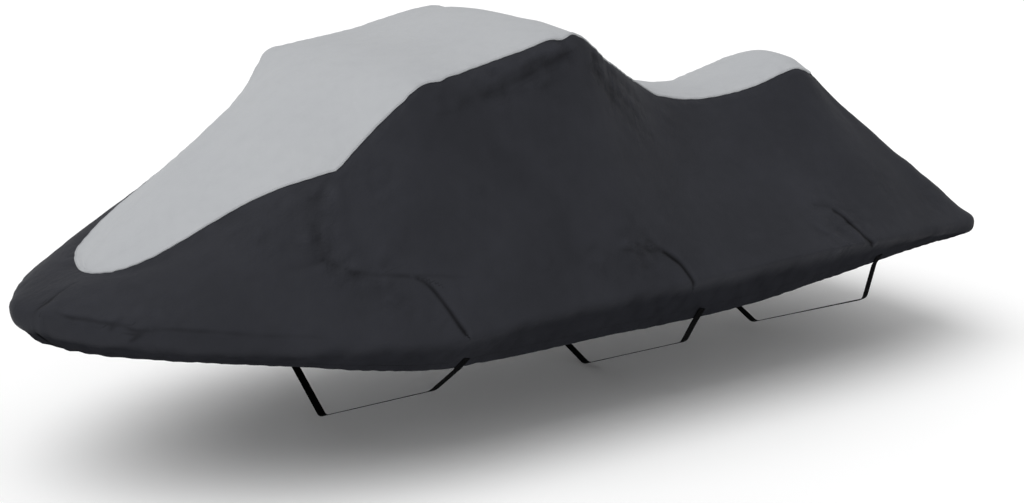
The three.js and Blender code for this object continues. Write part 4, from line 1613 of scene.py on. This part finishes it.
@dataclass
class Studio:
    """The photograph's camera, a wide soft light and a pale floor, in degrees and metres."""

    azimuth: float = -36.2
    elevation: float = 15.1
    distance: float = 6.06
    target: tuple[float, float, float] = (0.059, 0.0, -0.716)
    roll: float = 0.38
    focal_pixels: float = 2047
    image_width: float = 1024
    floor_height: float = -1.121
    floor_half: float = 60.0  # half the width of the floor, so that its edge lies far out of sight
    world_light: float = 0.66
    sun_light: float = 1.6
    sun_angle: float = 62  # how wide the light is, which makes its shadow soft
    sun_from: tuple[float, float, float] = (-0.52, -0.02, 1.0)

    def place_camera(self) -> None:
        """Stands the camera off the target along (sin a cos e, -cos a cos e, sin e), turned by its roll."""
        a, e, r = np.radians([self.azimuth, self.elevation, self.roll])
        back = np.array([np.sin(a) * np.cos(e), -np.cos(a) * np.cos(e), np.sin(e)])
        right = np.array([np.cos(a), np.sin(a), 0.0])
        up = np.cross(back, right)
        right, up = right * np.cos(r) + up * np.sin(r), up * np.cos(r) - right * np.sin(r)
        data = bpy.data.cameras.new("photo_camera")
        data.sensor_width = 36
        data.lens = self.focal_pixels / self.image_width * data.sensor_width
        data.clip_end = 100
        camera = placed("photo_camera", data)
        place = np.array(self.target) + back * self.distance
        camera.matrix_world = Matrix(np.column_stack([right, up, back, place]).tolist() + [[0, 0, 0, 1]])
        bpy.context.scene.camera = camera

    def build(self) -> None:
        """Adds floor, world and light, and shows colours as they are."""
        size = self.floor_half
        mesh = bpy.data.meshes.new("floor")
        corners = [(-size, -size), (size, -size), (size, size), (-size, size)]
        mesh.from_pydata([(x, y, self.floor_height) for x, y in corners], [], [(0, 1, 2, 3)])
        mesh.materials.append(StudioFloor().build())
        placed("floor", mesh)
        world = bpy.data.worlds.new("studio")
        world.use_nodes = True
        background = world.node_tree.nodes["Background"]
        background.inputs[0].default_value = linear("#ffffff")
        background.inputs[1].default_value = self.world_light
        bpy.context.scene.world = world
        sun = bpy.data.lights.new("wide_soft_light", "SUN")
        sun.energy = self.sun_light
        sun.angle = float(np.radians(self.sun_angle))
        lamp = placed("wide_soft_light", sun)
        lamp.rotation_euler = Vector(self.sun_from).to_track_quat("Z", "Y").to_euler()
        view = bpy.context.scene.view_settings
        view.view_transform = "Standard"
        view.look = "None"


def finish_piece(
    piece: bpy.types.Object, material: bpy.types.Material, slot: str | None = None, *nodes: str
) -> None:
    """Gives a piece its finish and tells the frame what it stands for.

    Args:
        piece: the Blender object.
        material: its finish.
        slot: not used.
        nodes: the CAD nodes that it replaces.
    """
    piece.data.materials.append(material)
    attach(piece, "root")
    if nodes:
        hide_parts(*nodes)
    log.info("%s: %d faces", piece.name, len(piece.data.polygons))


def stitches(
    name: str, lines: list[tuple[Array, Array]], thread: bpy.types.Material, sewing: Sewing
) -> bpy.types.Object:
    """Joins several rows of stitches in one piece and finishes it.

    Args:
        name: of the piece.
        lines: for each row, its points and outward directions.
        thread: the finish.
        sewing: makes the mesh.

    Returns:
        The new object.
    """
    rows = [StitchRow().along(line, outwards) for line, outwards in lines]
    starts = np.cumsum([0] + [len(points) for points, _ in rows])
    points = np.vstack([points for points, _ in rows])
    cells = np.vstack([cells + start for (_, cells), start in zip(rows, starts)])
    piece = sewing.mesh(name, in_frame(points), cells, points[:, :2] * MM, {})
    finish_piece(piece, thread)
    return piece


def main() -> None:
    """Builds the studio and the pieces in order."""
    logging.basicConfig(level=logging.INFO, format="%(name)s: %(message)s")
    studio = Studio()
    studio.place_camera()
    studio.build()

    form = CoverForm()
    close_rows = ((-680, -480, 1.4), (150, 310, 1.4), (840, 1060, 1.4))  # at the darts
    tailor = Tailor(form, form.spread(400, close_rows))
    sewing, drape = Sewing(), Drape()
    # one calm pale surface; the fourth colour is the painted shade in creases and under the fold
    grey_cloth = CoatedWeave(
        "coated woven polyester, light grey", "#abadb0", "#9fa1a4", "#b0b2b4", "#6a6c6f", 0.2, 0.03,
    ).build()
    # nearly black, with hardly any shine; the fourth colour is the painted shade in creases and under the
    # fold
    charcoal_cloth = CoatedWeave(
        "coated woven polyester, charcoal", "#2c2d32", "#222327", "#37383e", "#050506", 0.07, 0.01,
    ).build()
    webbing = NarrowWebbing().build()
    pale_thread = SewingThread("bonded polyester thread, grey", "#9c9ea1", "#85878a").build()
    dark_thread = SewingThread("bonded polyester thread, black", "#131315", "#08080a").build()

    sides = [SidePanel(side, drape, tailor, sewing) for side in BOTH]
    side_names = [panel.name for panel in sides]
    for panel in sides:
        piece, side = panel.build(), panel.side.name.lower()
        finish_piece(piece, charcoal_cloth, "side_cloth", f"side_panel_{side}")
        hem = stitches(f"hem_stitching_{side}", [panel.hem_line()], dark_thread, sewing)

    top = TopPanel(drape, tailor, sewing)
    piece = top.build()
    finish_piece(piece, grey_cloth, "top_cloth", "top_panel")
    seam = stitches("seam_stitching", top.seam_lines(), pale_thread, sewing)

    straps = (
        TieStrap("strap_front", "tie_strap_front", -500, (-512, 449, -222), (-585, -410), lean=20),
        TieStrap("strap_middle", "tie_strap_middle", 322, (352, 462, -240), (362, -432), lean=13),
        TieStrap("strap_rear", "tie_strap_rear", 1068, (1066, 482, -226), (1062, -420), lean=4),
    )
    for strap in straps:
        piece = strap.build(form, sewing)
        finish_piece(piece, webbing, "webbing", strap.node)
        box = stitches(f"{strap.name}_stitching", strap.stitch_lines(), dark_thread, sewing)


if __name__ == "__main__":
    main()
